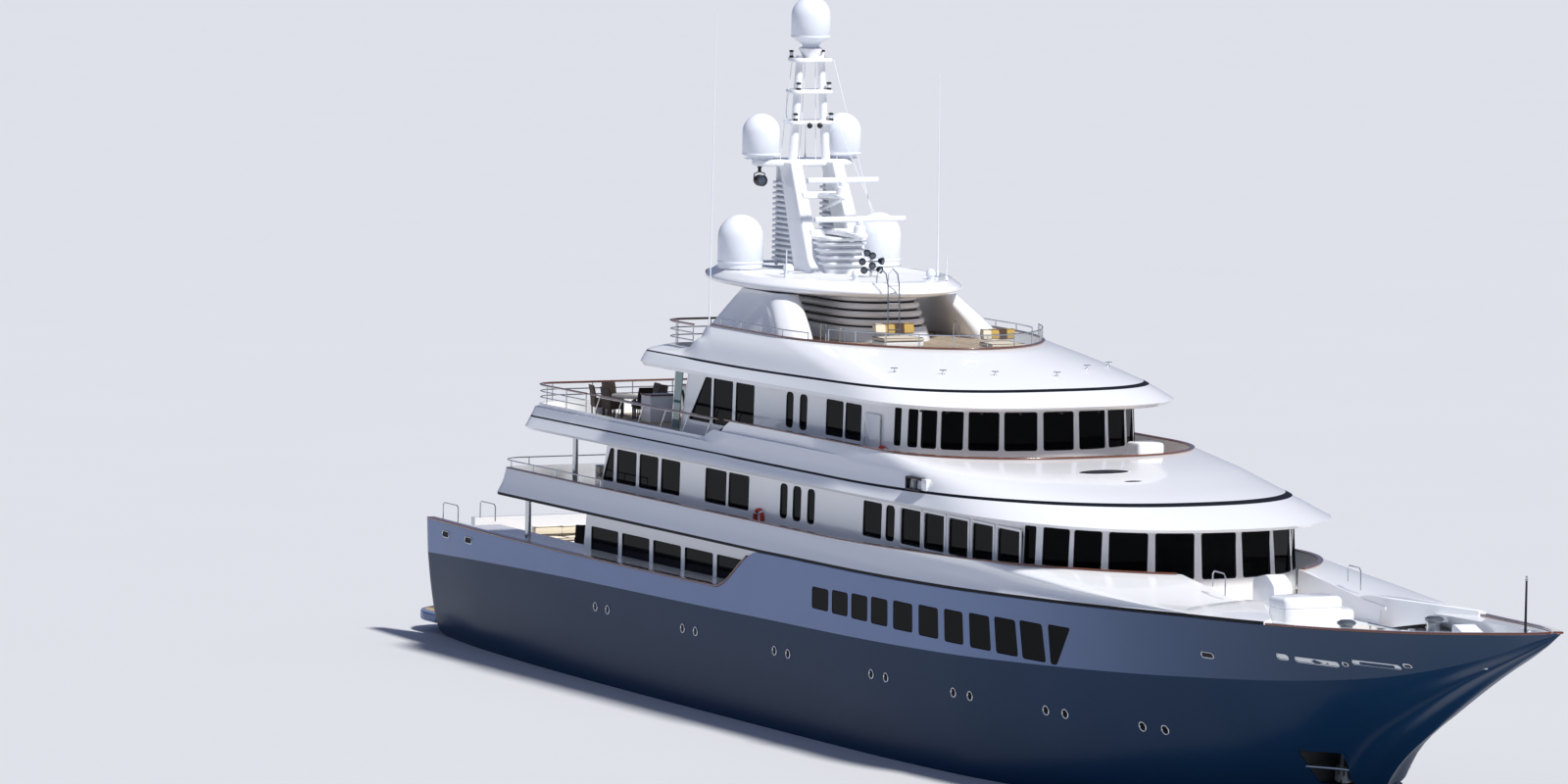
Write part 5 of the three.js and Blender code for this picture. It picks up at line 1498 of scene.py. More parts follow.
def build_mast(sizes):
    make(mast_frame(), "mast_frame", stands_for=["mast"])
    pitch = sizes.mast_slat_pitch
    slats = [[(-14.62, side * SLATS_Y, z), (leg_aft(z) + 0.08, side * SLATS_Y, z)]
             for z in (15.25 + pitch * i for i in range(int(2.9 / pitch))) for side in BOTH]
    grown("mast_slats", "moulding", slats, "white_paint", WHITE, width=0.36, height=pitch * 0.6)
    hoop = block_outline(-12.5, -10.78, -0.8, 0.8, 0.72, 8)
    hoops = [[(x, y, 15.28 + 0.23 * i) for x, y in hoop + hoop[:1]] for i in range(4)]
    grown("mast_housing_slats", "moulding", hoops, "white_paint", WHITE, width=0.16, height=0.12)
    backs = Form()
    outline = [(-14.5, 15.1), (-12.4, 15.1), (-13.7, 18.4), (-14.5, 18.4)]
    for side in BOTH:
        backs.loft([[(x, side * y, z) for x, z in outline] for y in (0.9, 0.94)], "deck_paint")
        backs.tube([(-14.6, side * SLATS_Y, z) for z in (15.0, 18.6)], 0.06, WHITE)
    make(backs, "mast_slat_backs")
    make(mast_small_parts(), "mast_lamps_and_aerials", slot="black_paint")
    for label, x, z, _, half in RADARS:
        rows = ((-half, 0.05, 0.07), (-half + 0.02, 0.085, 0.095), (-half * 0.5, 0.112, 0.1),
                (0, 0.118, 0.1), (half * 0.5, 0.112, 0.1), (half - 0.02, 0.085, 0.095), (half, 0.05, 0.07))
        bar = Form().loft([[(x + a, y, z + 0.1 + b)
                            for a, b in block_outline(-deep, deep, -tall, tall, 0.05)]
                           for y, deep, tall in rows], GELCOAT)
        bar.turned((x, 0, z - 0.095), ((0, 0), (0.14, 0), (0.14, 0.1), (0.1, 0.14), (0, 0.14)), GELCOAT, 24)
        make(bar, f"radar_bar_{label}", f"radar_{label}_body", "white_paint", [f"radar_scanner_{label}"])
    make(searchlight(), "searchlight_head", "searchlight_body", "black_paint", ["searchlight"])
    for name, foot, tip in (("whip_starboard", (-12.8, -4.45, SUN_FLOOR + CLEAR), (-12.6, -4.45, 24.0)),
                            ("whip_port", (-8.6, 2.3, HARDTOP_TOP + 0.002), (-8.7, 2.3, 22.0))):
        shares, radii = zip((0, 0.06), (0.03, 0.055), (0.031, 0.034), (0.16, 0.03), (0.17, 0.024),
                            (0.55, 0.018), (1, 0.01))
        form = Form().tube([mix(foot, tip, s) for s in shares], radii, GELCOAT, 10)
        form.turned(foot, ((0, 0), (0.1, 0), (0.1, 0.03), (0.05, 0.05)), STEEL, 16)
        make(form, f"{name}_aerial", stands_for=[name])


# Rails and windscreens

def stern_path(row, z, fore):
    """A deck's outline round its stern, from port to starboard, aft of an x."""
    ring = plan(*row[:6], z)
    port = [(x, y - RAIL_INWARD, h) for x, y, h in ring[:len(ring) // 2 + 1] if x <= fore][::-1]
    return port + [(x, -y, h) for x, y, h in port[::-1]]


def thinned(path, every):
    return path[:-1:every] + path[-1:]


def grab_rails():
    """Hoops on the sun deck, rails beside the foredeck pit, and those of the stern's boarding gates."""
    hoops = Form()
    for x, y in ((-10.6, -3.4), (-7.9, -2.6), (-5.9, -2.9), (-10.6, 3.4), (-7.9, 2.6)):
        hoops.tube([(x, y, 12.9), (x, y, 13.35), (x + 0.06, y, 13.46), (x + 0.2, y, 13.5),
                    (x + 0.34, y, 13.46), (x + 0.4, y, 13.35), (x + 0.4, y, 12.9)], 0.02, STEEL, 8)
        for dx in (0, 0.4):
            hoops.tube([(x + dx, y, SUN_FLOOR), (x + dx, y, 12.92)], 0.02, STEEL, 8)
    for y in (-2.5, 2.5):
        hoops.tube([(19.2, y, 7.2), (19.2, y, 7.62), (19.3, y, 7.72), (19.9, y, 7.7), (20.0, y, 7.6),
                    (20.0, y, 7.0)], 0.022, STEEL, 8)
    gate = ((-32.6, 4.36), (-32.6, 4.9), (-32.5, 4.98), (-31.4, 4.98), (-31.3, 4.9), (-31.3, 4.36))
    for side in BOTH:
        for y in (STAIR["inner"] - 0.08, STAIR["outer"] + 0.08):
            hoops.tube([(x, side * y, z) for x, z in gate], 0.022, STEEL, 8)
    return hoops


def build_rails(sizes):
    bars = {"bar_radius": sizes.rail_radius, "post_radius": sizes.rail_radius}
    cap = {"slot": "teak", "finish": "varnished_teak", "width": 0.1, "height": 0.05}
    foot, breadth = 9.43, 5.62
    bridge = stern_path(BRIDGE_LEVELS[5], foot, -19.8)
    grown("bridge_stern_rail", "railing", [thinned(bridge, 2)], height=0.64, bars=3, spacing=1.5, **bars)
    raked = [[(x, side * breadth, foot) for x in (-19.4, -10.6)] for side in BOTH]
    grown("bridge_side_rail", "railing", raked, height=0.62, lean=(0.42, 0.0, 0.0), bars=1, spacing=1.7,
          **bars)
    caps = [[(x, y, BRIDGE_CAP) for x, y, _ in bridge]]
    caps += [[(x, side * breadth, BRIDGE_CAP) for x in (-19.8, -9.6)] for side in BOTH]
    grown("bridge_stern_cap", "moulding", caps, **cap)
    sun = stern_path(SUN_LEVELS[5], 12.21, -13.7)
    grown("sun_stern_rail", "railing", [thinned(sun, 2)], height=0.8, bars=3, spacing=1.3, **bars)
    grown("sun_stern_cap", "moulding", [[(x, y, 13.04) for x, y, _ in sun]], **cap)
    upper = stern_path(UPPER_LEVELS[5], 6.9, -18.0)
    grown("upper_stern_rail", "railing", [thinned(upper, 2)], height=0.28, bars=1, spacing=1.8, **bars)
    top = SUN_CAP + 0.03
    sides = [[(x, side * y, z) for x, y, z in rail_path(SUN_LEVELS[5], top, -11.6) if x <= -5.2 and y > 0]
             for side in BOTH]
    grown("sun_side_rail", "railing", sides, height=0.24, bars=1, spacing=1.5, **bars)
    front = [(x - 0.04, y * 0.985, z) for x, y, z in plan(*SUN_LEVELS[5][:6], top) if x > -4.6]
    grown("windscreen_frame", "railing", [thinned(front, 2)], height=0.44, bars=1, spacing=1.1, **bars)
    rings = [[(x + dx, y, z + dz) for x, y, z in front]
             for dx, dz in ((0.008, 0), (0.008, 0.43), (-0.008, 0.43), (-0.008, 0))]
    make(Form().loft([list(column) for column in zip(*rings)], "clear_acrylic"), "windscreen_sheet",
         slot="dark_glass")
    make(grab_rails(), "grab_rails", slot="steel")


# Furniture

def seat_row(name, x0, x1, half, floor, count, solid):
    """A built-in bench with its back aft: a moulded base, and padded seat and back cushions."""
    base = Form()
    base.block((x0, -half, floor + CLEAR), (x1, half, floor + 0.3), WHITE, 0.06, 0.02)
    base.block((x0 + 0.05, -half + 0.06, floor), (x1 - 0.12, half - 0.06, floor + 0.12), "varnished_teak",
               0.04)
    base.block((x0, -half, floor + 0.29), (x0 + 0.14, half, floor + 0.82), WHITE, 0.05, 0.03)
    make(base, f"{name}_base", stands_for=[solid])
    wide = 2 * half / count
    for i in range(count):
        y = -half + wide * i
        cushion(f"{name}_seat_{i + 1}", (x0 + 0.3, y + 0.015, floor + 0.31),
                (x1 - 0.01, y + wide - 0.015, floor + 0.45), 0.75)
        cushion(f"{name}_back_{i + 1}", (x0 + 0.15, y + 0.02, floor + 0.46),
                (x0 + 0.36, y + wide - 0.02, floor + 0.88), 0.6, crown=0.03)


def chair_form():
    """A tall wicker armchair about its own foot, facing +X."""
    form = Form()
    form.slab(block_outline(-0.27, 0.29, -0.29, 0.29, 0.08), 0.36, 0.45, "resin_wicker", 0.03)
    back = [(-0.27, -0.29), (-0.2, -0.3), (-0.2, 0.3), (-0.27, 0.29)]
    form.loft([[(x - 0.1 * t * t, y * (1 - 0.12 * t * t), 0.4 + 0.75 * t) for x, y in back]
               for t in (s / 6 for s in range(7))], "resin_wicker")
    for y in (-0.28, 0.28):
        arm = ((-0.035, 0.42), (0.035, 0.42), (0.035, 0.66), (-0.035, 0.66))
        form.loft([[(x, y + dy, z) for dy, z in arm] for x in (-0.24, 0.24)], "resin_wicker")
        for x in (-0.22, 0.24):
            form.tube([(x, y * 0.9, 0.0), (x, y * 0.95, 0.4)], 0.025, "resin_wicker", 8)
    form.slab(block_outline(-0.2, 0.27, -0.25, 0.25, 0.06), 0.45, 0.52, "cream_canvas", 0.025)
    return form


TERRACE = 12.86
DINING = {"x": -19.6, "radius": 1.15, "seats": 1.5}
# Loose chairs on each deck; columns: x, y, and the heading that they face in radians
CHAIRS = ((BRIDGE_FLOOR, ((-22.2, -3.55, 1.7), (-23.1, -3.6, 1.4), (-21.9, -2.5, 3.1), (-23.9, -2.7, 0.1),
                          (-22.4, -1.7, -1.5), (-23.2, -1.6, -1.7), (-16.6, 3.9, -1.3), (-17.6, 4.1, -1.9),
                          (-22.9, 3.3, -0.6), (-23.6, 2.2, 0.2))),
          (UPPER_FLOOR, ((-23.1, 1.6, -2.4), (-23.1, -1.6, 2.4), (-24.6, 2.1, -1.57), (-24.6, -2.1, 1.57))),
          (MAIN_FLOOR, ((-25.8, 1.1, 0), (-25.8, 0, 0), (-25.8, -1.1, 0), (-23.4, 1.1, 3.14),
                        (-23.4, 0, 3.14), (-23.4, -1.1, 3.14), (-28.6, 1.5, -2.6), (-28.6, -1.5, 2.6))))
# Low tables on the aft decks; columns: x, floor, half its length, half its breadth, height
TABLES = ((-23.9, UPPER_FLOOR, 0.5, 0.9, 0.45), (-29.6, MAIN_FLOOR, 0.45, 1.0, 0.42),
          (-24.6, MAIN_FLOOR, 0.8, 1.7, 0.74))
LOUNGERS = (-2.9, -1.1, 0.7, 2.5)
PILLOWS = ("cream_canvas", "gold_canvas", "brown_canvas", "gold_canvas")


def build_chairs(count):
    """Sets the chairs down, count of them round the dining table."""
    spots = []
    for i in range(count):
        a = math.tau * (i + 0.5) / count
        spots.append((DINING["x"] + DINING["seats"] * math.cos(a), DINING["seats"] * math.sin(a),
                      BRIDGE_FLOOR, a + math.pi))
    spots += [(x, y, floor, turn) for floor, rows in CHAIRS for x, y, turn in rows]
    model = placed("chair_model", mesh_of(chair_form(), "chair_model"))
    chairs = wire("dining_chairs", [[spot[:3]] for spot in spots])
    turn = chairs.data.attributes.new("turn", "FLOAT", "POINT")
    turn.data.foreach_set("value", [spot[3] for spot in spots])
    grow(chairs, "scatter", {"Piece": model})
    discard(model)
    settle(chairs, slot="black_paint")


def cabinet_on(form, x0, x1, y0, y1, height):
    """A white cabinet with a teak top on the bridge deck."""
    top = BRIDGE_FLOOR + height
    form.block((x0, y0, BRIDGE_FLOOR + CLEAR), (x1, y1, top), WHITE, 0.05, 0.02)
    form.block((x0 - 0.03, y0 - 0.03, top - 0.005), (x1 + 0.03, y1 + 0.03, top + 0.05), "varnished_teak",
               0.06, 0.015)


def build_bridge_deck_furniture(chairs):
    foot = BRIDGE_FLOOR + CLEAR
    rim = flat(oval(DINING["x"], DINING["radius"], DINING["radius"], 0, 48))
    table = Form().slab(rim, BRIDGE_FLOOR + 0.68, BRIDGE_FLOOR + 0.76, WHITE, 0.03)
    table.slab(inset(rim, 0.1), BRIDGE_FLOOR + 0.755, BRIDGE_FLOOR + 0.765, "cream_canvas", 0.003)
    table.turned((DINING["x"], 0, foot), ((0, 0), (0.42, 0), (0.4, 0.04), (0.16, 0.09), (0.12, 0.3),
                                          (0.16, 0.6), (0.3, 0.685), (0, 0.685)), "brushed_steel")
    make(table, "dining_table_top", slot="teak", stands_for=["dining_table"])
    build_chairs(chairs)

    cabinet = Form()
    cabinet_on(cabinet, -17, -16, -2.6, -0.9, 1.0)
    for y in (-2.32, -1.75, -1.18):
        cabinet.slab(block_outline(y - 0.25, y + 0.25, BRIDGE_FLOOR + 0.12, BRIDGE_FLOOR + 0.92, 0.03),
                     -17.015, -16.99, WHITE, 0.008, lengthways)
        cabinet.tube([(-17.05, y + 0.18, BRIDGE_FLOOR + z) for z in (0.6, 0.8)], 0.012, STEEL, 8)
    make(cabinet, "bar_cabinet_body", stands_for=["bar_cabinet"])
    sideboards = Form()
    for x, y, wide in ((-16.6, 1.2, 1.6), (-16.6, 3.1, 1.6), (-21.2, -2.9, 1.0), (-24.2, 0.2, 1.8)):
        cabinet_on(sideboards, x, x + 0.75, y, y + wide, 0.95)
    # The oval table by the starboard rail
    x, y = -22.8, -2.6
    sideboards.slab([(a, y + b) for a, b in flat(oval(x, 0.95, 0.5, 0, 40))][::-1], BRIDGE_FLOOR + 0.7,
                    BRIDGE_FLOOR + 0.76, "cream_canvas", 0.02)
    for dx in (-0.5, 0.5):
        sideboards.turned((x + dx, y, foot), ((0, 0), (0.2, 0), (0.18, 0.03), (0.06, 0.06), (0.06, 0.7),
                                              (0, 0.7)), "brushed_steel", 20)
    make(sideboards, "sideboards")


def build_lounge():
    """Low tables on the aft decks, and loungers aft on the sun deck."""
    form = Form()
    for x, floor, long, wide, high in TABLES:
        form.slab(block_outline(x - long, x + long, -wide, wide, 0.2), floor + high - 0.05, floor + high,
                  "varnished_teak", 0.015)
        for dx in (-0.6, 0.6):
            for dy in (-0.7, 0.7):
                form.tube([(x + dx * long, dy * wide, z) for z in (floor, floor + high - 0.04)], 0.035,
                          "brushed_steel")
    for y in LOUNGERS:
        form.slab(block_outline(-15.9, -14.0, y - 0.35, y + 0.35, 0.06), SUN_FLOOR + 0.22, SUN_FLOOR + 0.3,
                  "varnished_teak", 0.02)
        for x in (-15.7, -14.2):
            for dy in (-0.28, 0.28):
                form.tube([(x, y + dy, SUN_FLOOR), (x, y + dy, SUN_FLOOR + 0.24)], 0.03, "varnished_teak")
    make(form, "aft_tables_and_loungers", slot="teak")
    for i, y in enumerate(LOUNGERS):
        cushion(f"lounger_pad_{i + 1}", (-15.85, y - 0.32, SUN_FLOOR + 0.305),
                (-14.05, y + 0.32, SUN_FLOOR + 0.43), 0.75, crown=0.03)


def build_terrace():
    """The raised terrace that fills the forward end of the sun deck, and the sofas on it."""
    edge = flat(plan(-11.5, -1.15, 4.15, 6.6, 0.3, 2, 0))
    make(Form().slab(edge, SUN_FLOOR + CLEAR, TERRACE, WHITE, 0.02, top="laid_teak"), "sun_terrace")
    for name, x, y, wide in (("louvre", -6.0, -1.62, 1.55), ("windscreen", -2.9, 0.9, 1.3)):
        plinth = Form().block((x, y, TERRACE + 0.002), (x + 0.95, y + wide, TERRACE + 0.16), WHITE, 0.08)
        make(plinth, f"{name}_seat_plinth")
        cushion(f"{name}_seat", (x + 0.02, y + 0.02, TERRACE + 0.17),
                (x + 0.93, y + wide - 0.02, TERRACE + 0.33), 0.75)
        share = (wide - 0.08) / len(PILLOWS)
        for i, finish in enumerate(PILLOWS):
            start = y + 0.04 + share * i
            cushion(f"{name}_pillow_{i + 1}", (x + 0.05, start + 0.01, TERRACE + 0.34),
                    (x + 0.27, start + share - 0.01, TERRACE + 0.86), 0.5, finish, crown=0.02, lean=-0.15)


def build_sun_pad():
    """A moulded plinth with four pads."""
    low, high = (Vector(corner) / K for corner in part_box("sun_pad"))
    top = high.z - 0.16
    make(Form().block(low, (high.x, high.y, top), WHITE, 0.25, 0.04), "sun_pad_plinth",
         stands_for=["sun_pad"])
    wide = (high.y - low.y - 0.1) / 4
    for i in range(4):
        y = low.y + 0.05 + wide * i
        cushion(f"sun_pad_{i + 1}", (low.x + 0.06, y + 0.015, top + 0.005),
                (high.x - 0.06, y + wide - 0.015, high.z - 0.02), 0.75)


def build_furniture(sizes):
    build_bridge_deck_furniture(sizes.chairs)
    build_lounge()
    seat_row("upper_sofa", -25.9, -24.9, 2.4, UPPER_FLOOR, 5, "sofa_upper")
    seat_row("main_sofa", -31.6, -30.6, 2.2, MAIN_FLOOR, 4, "sofa_main")
    build_terrace()
    build_sun_pad()


# Foredeck

# Columns: x and half the distance apart; those aft of the middle stand on the main deck
BOLLARDS = ((24.2, 2.6), (27.6, 2.0), (30.6, 1.3), (-31.9, 5.0), (-26.8, 5.1), (-9.5, 5.55))
BOLLARD = ((0, 0), (0.1, 0), (0.1, 0.02), (0.065, 0.04), (0.065, 0.34), (0.095, 0.38), (0.095, 0.42),
           (0, 0.43))
DRUM = ((0, 0.28), (0.3, 0.28), (0.3, 0.34), (0.2, 0.38), (0.17, 0.5), (0.2, 0.64), (0.3, 0.72),
        (0.3, 0.78), (0.2, 0.84), (0, 0.85))
CAPSTAN = ((0, 0), (0.13, 0), (0.13, 0.02), (0.08, 0.04), (0.08, 0.36), (0.12, 0.4), (0.12, 0.43),
           (0, 0.44))
WINDLASS = {"x": 26.0, "y": 1.6}
STAFF = {"x": 33.9, "top": 8.85}


def locker_ring(z, inward):
    ring = plan(22.45 + inward, 23.75 - inward, 1.05 - inward, 0.3, 0.2, 3, z, 10, 12)
    return [(x, y - 1.35, h) for x, y, h in ring]


def build_locker_and_hood():
    layers = ((FOREDECK_FLOOR + CLEAR, 0), (6.93, 0), (6.94, 0.015), (6.96, 0.015), (6.97, 0), (7.15, 0),
              (7.22, 0.02), (7.27, 0.06), (7.3, 0.14))
    make(Form().loft([locker_ring(*row) for row in layers], WHITE), "foredeck_locker_body",
         stands_for=["foredeck_locker"])

    hood = rounded([(18.0, UPPER_FLOOR + CLEAR), (19.4, UPPER_FLOOR + CLEAR), (19.4, 7.15), (18.9, 7.5),
                    (18.0, 7.3)], 0.16, 6)
    form = Form().slab(hood, -0.35, 0.35, WHITE, 0.06, sideways)
    # A shallow recess in the hood's aft face, its back black as painted shade inside the cowl's opening
    form.stepped(block_outline(-0.26, 0.26, 6.45, 7.15, 0.1),
                 ((0, 18.05), (0, 17.985), (0.04, 17.985), (0.06, 18.02)), lengthways, WHITE,
                 caps=(WHITE, BLACK))
    make(form, "foredeck_hood_body", stands_for=["foredeck_hood"])

    form = Form().slab(flat(plan(19.7, 21.9, 1.5, 0.8, 0.5, 2.4, 0, 10, 12)), UPPER_FLOOR, 6.62, WHITE,
                       0.16)
    ramp = rounded([(28.9, FOREDECK_FLOOR), (30.1, FOREDECK_FLOOR), (30.1, 6.55), (29.1, 6.95),
                    (28.9, 6.95)], 0.08)
    form.slab(ramp, 0.45, 1.2, WHITE, 0.04, sideways)
    form.slab(block_outline(27.9, 28.6, -0.35, 0.35, 0.1), FOREDECK_FLOOR, 6.1, WHITE, 0.03,
              top="tinted_glass")
    form.slab(block_outline(5.1, 6.0, 2.2, 3.2, 0.12), BRIDGE_FLOOR, 10.45, WHITE, 0.1)
    make(form, "foredeck_covers")


def windlass(side):
    x, y, floor = WINDLASS["x"], side * WINDLASS["y"], FOREDECK_FLOOR + CLEAR
    form = Form().block((x - 0.55, y - 0.4, floor), (x + 0.55, y + 0.4, FOREDECK_FLOOR + 0.3), WHITE,
                        0.1, 0.04)
    form.turned((x, y, FOREDECK_FLOOR), DRUM, "galvanised_steel", 32)
    form.turned((x - 0.32, y - side * 0.62, floor), CAPSTAN, STEEL, 24)
    return form.tube([(x + 0.5, y, 6.12), (x + 1.4, y * 0.9, 6.12), (x + 1.9, y * 0.8, 6.05)], 0.07,
                     "galvanised_steel", 10)


def bollards():
    """Twin bollards along the bulwarks, and a low rail on the foredeck."""
    form = Form()
    for x, apart in BOLLARDS:
        floor = FOREDECK_FLOOR if x > 0 else MAIN_FLOOR
        for side in BOTH:
            y = side * apart
            for dx in (-0.16, 0.16):
                form.turned((x + dx, y, floor), BOLLARD, STEEL, 20)
            form.tube([(x + dx, y, floor + 0.24) for dx in (-0.32, 0.32)], 0.03, STEEL, 8)
    form.tube([(23.2, 0.9, 6.32), (25.1, 0.9, 6.32)], 0.045, STEEL)
    for x in (23.3, 25.0):
        form.tube([(x, 0.9, FOREDECK_FLOOR), (x, 0.9, 6.32)], 0.04, STEEL)
    return form


def jackstaff():
    x, top = STAFF["x"], STAFF["top"]
    form = Form().tube([(x, 0, BOW_SHELF + CLEAR), (x, 0, top)], [0.045, 0.032], BLACK, 16)
    form.turned((x, 0, top), ((0, 0), (0.05, 0), (0.05, 0.03), (0.03, 0.05), (0.04, 0.1), (0.02, 0.14),
                              (0, 0.15)), STEEL, 16)
    return form.turned((x, 0, BOW_SHELF), ((0, 0), (0.14, 0), (0.14, 0.02), (0.07, 0.06), (0.06, 0.14),
                                           (0, 0.14)), STEEL, 20)


def anchor(side):
    """A stockless anchor, housed in its pocket."""
    x, y = 24.9, side * (POCKET["inner"] + 0.15)
    shank = ((-1, -0.9), (1, -0.9), (1, 0.9), (-1, 0.9))
    form = Form().loft([[(x + dx * w, y + dy * w, z) for dx, dy in shank]
                        for z, w in ((1.66, 0.13), (1.9, 0.12), (2.5, 0.08))], "galvanised_steel")
    fluke = rounded([(0.06, 1.55), (0.4, 1.6), (0.36, 1.95), (0.26, 2.15), (0.2, 1.8), (0.06, 1.75)], 0.05)
    for sign in (-1, 1):
        form.loft([[(x + sign * a, y + dy, b) for a, b in fluke] for dy in (-0.11, 0.12)],
                  "galvanised_steel")
    return form.tube([(x, y, 2.46), (x, y + side * 0.06, 2.56), (x, y, 2.62)], 0.04, "galvanised_steel")


def build_foredeck():
    build_locker_and_hood()
    for label, side in SIDES:
        make(windlass(side), f"windlass_{label}_drum", slot="steel", stands_for=[f"windlass_{label}"])
    make(bollards(), "bollards_and_fairleads", slot="steel")
    make(jackstaff(), "jackstaff_pole", slot="steel", stands_for=["jackstaff"])
    for label, side in SIDES:
        make(anchor(side), f"anchor_{label}_body", slot="steel", stands_for=[f"anchor_{label}"])


# Stern, and what is under water

def foil(chord0, chord1, thick, steps=10):
    """A streamlined section as x and half-thickness, blunt end at chord1."""
    points = []
    for i in range(steps + 1):
        t = 0.5 - 0.5 * math.cos(math.pi * i / steps)
        half = (0.2969 * math.sqrt(t) - 0.126 * t - 0.3516 * t * t + 0.2843 * t ** 3
                - 0.1036 * t ** 4)
        points.append((lerp(chord1, chord0, t), 5 * thick * half))
    return points + [(x, -y) for x, y in points[-2:0:-1]]


SHAFT = {"y": 2.6, "z": -2.55, "aft": -27.09, "fore": -15.5}
HUB = ((0, 0), (0.09, 0.03), (0.2, 0.16), (0.26, 0.36), (0.26, 0.98), (0.2, 1.0), (0, 1.0))
FIN = {"x": -1.5, "y": 5.15, "z": -2.76, "tilt": 0.6}
# Columns: name, x, y, foot, top, then the radii of the tube, of its base plate and of the collar on that
PILLARS = (("pillar", -25.6, 5.2, MAIN_FLOOR, UPPER_UNDER, 0.11, 0.2, 0.13),
           ("upper_pillar", -23, 4.6, UPPER_FLOOR, BRIDGE_UNDER, 0.1, 0.18, 0.11))


def build_platform_and_garage():
    outline = flat(plan(-BOW, TRANSOM - CLEAR, 5.3, 0.01, 1.6, 2, 0, 20, 6))
    form = Form().slab(outline, 0.42, 0.78, "sheer_enamel", 0.05)
    form.slab(inset(outline, 0.14), 0.77, 0.8, "laid_teak", 0.01)
    make(form, "swim_platform_body", slot="teak", stands_for=["swim_platform"])
    grown("stern_ladder_slats", "slats", [[(-35.6, -0.9, 0.83), (-35.6, 0.9, 0.83)]], pitch=0.12,
          size=(0.3, 0.05, 0.03))

    face = TRANSOM - 0.12
    door = Form().slab(block_outline(-3.2, 3.2, 0.85, 3.05, 0.16, 6), face, TRANSOM - CLEAR,
                       "topside_enamel", 0.03, lengthways)
    door.slab(block_outline(-2.0, 2.0, 1.2, 2.7, 0.12), face - 0.015, face + 0.002, "topside_enamel", 0.012,
              lengthways)
    for y in (-2.7, 2.7):
        handle(door, face, y, 1.1, 0.42, -0.07, 0, 0.025, 0.02, 8)
    make(door, "garage_door_leaf", "garage_door_body", "hull_paint", ["garage_door"])


def shaft_line(y):
    """A shaft with its bearing and the two arms that carry it."""
    form = Form().tube([(x, y, SHAFT["z"]) for x in (SHAFT["aft"], SHAFT["fore"])], 0.13, STEEL, 20)
    form.turned((-26.98, y, SHAFT["z"]),
                ((0, 0), (0.24, 0), (0.27, 0.06), (0.27, 0.8), (0.2, 0.88), (0, 0.88)), "cast_bronze", 28,
                (1, 0, 0))
    for dy in (-0.8, 0.8):
        form.loft([[(-26.55 + a, y + dy * t + b * 0.4, lerp(-2.5, -0.75, t))
                    for a, b in foil(-0.22, 0.22, 0.3)]
                   for t in (0, 0.5, 1)], "antifouling")
    return form


def propeller(y, hand, blades=5, steps=8):
    """A wheel of raked, twisted blades; hand is 1 or -1."""
    form = Form().turned((-28.1, y, SHAFT["z"]), HUB, "cast_bronze", 36, (1, 0, 0))
    for turn in turns(blades):
        rings = []
        for t in (s / steps for s in range(steps + 1)):
            r = lerp(0.2, 1.15, t)
            chord = 0.22 + 0.62 * math.sin(math.pi * min(0.14 + 0.8 * t, 1)) ** 0.8
            pitch = hand * lerp(1.15, 0.62, t)
            ring = []
            for a, b in foil(-chord / 2, chord / 2, lerp(0.12, 0.025, t), 8):
                along = a * math.cos(pitch) - b * math.sin(pitch)
                across = a * math.sin(pitch) + b * math.cos(pitch) - 0.16 * t ** 2
                ring.append((-27.6 + along, y + across * math.cos(turn) - r * math.sin(turn),
                             SHAFT["z"] + across * math.sin(turn) + r * math.cos(turn)))
            rings.append(ring)
        form.loft(rings, "cast_bronze")
    return form


def fin(side):
    """A stabiliser fin, its stock square to the turn of the bilge."""
    cos, sin = math.cos(side * FIN["tilt"]), math.sin(side * FIN["tilt"])

    def tilted(a, b, c):
        return (FIN["x"] + a, side * FIN["y"] + b * cos - c * sin, FIN["z"] + b * sin + c * cos)
    form = Form().loft([[tilted(a, b, c) for a, b in foil(aft, fore, thick)] for c, aft, fore, thick in
                        ((-0.19, -0.6, 0.9, 0.18), (-0.22, -0.6, 0.89, 0.2), (-1.25, -0.64, 0.47, 0.14),
                         (-1.3, -0.6, 0.43, 0.1))], "antifouling")
    return form.tube([tilted(0, 0, -0.3), tilted(0, 0, -0.06)], 0.12, STEEL, 20)


def build_stern():
    build_platform_and_garage()
    for label, side in SIDES:
        y = side * SHAFT["y"]
        make(shaft_line(y), f"shaft_{label}_line", slot="steel", stands_for=[f"shaft_{label}"])
        make(propeller(y, side), f"propeller_{label}_wheel", f"propeller_{label}_body", "bronze",
             [f"propeller_{label}"])
        form = Form().loft([[(a, y + b, z) for a, b in foil(aft, fore, thick)] for z, aft, fore, thick in
                            ((-1.25, -31.2, -29.5, 0.21), (-1.3, -31.2, -29.5, 0.22),
                             (-3.4, -30.92, -29.7, 0.17), (-3.45, -30.85, -29.75, 0.13))], "antifouling")
        form.tube([(-30.3, y, -1.65), (-30.3, y, -0.951)], 0.1, STEEL, 20)
        make(form, f"rudder_{label}_blade", f"rudder_{label}_body", "hull_paint", [f"rudder_{label}"])
        make(fin(side), f"stabiliser_{label}_blade", f"stabiliser_{label}_body", "hull_paint",
             [f"stabiliser_{label}"])
        for name, x, y, floor, top, r, plate, collar in PILLARS:
            foot = (x, side * y, floor + CLEAR)
            form = Form().tube([foot, (x, side * y, top)], r, STEEL, 24)
            form.turned(foot, ((0, 0), (plate, 0), (plate, 0.03), (collar, 0.06), (0, 0.06)), STEEL, 28)
            make(form, f"{name}_{label}_tube", slot="steel", stands_for=[f"{name}_{label}"])


# Trim on the decks' outsides, set down on the finished shells

def surface_of(name):
    """A function that gives the point of a piece under (x, y), and its surface's direction there."""
    mesh = bpy.data.objects[name].data
    tree = BVHTree.FromPolygons([v.co for v in mesh.vertices], [p.vertices for p in mesh.polygons])

    def under(x, y, height=20.0):
        place, normal, _, _ = tree.ray_cast(Vector((x, y, height)) * K, Vector((0, 0, -1)))
        if place is None:
            raise RuntimeError(f"no part of {name} lies under {x}, {y}")
        return place / K, normal
    return under


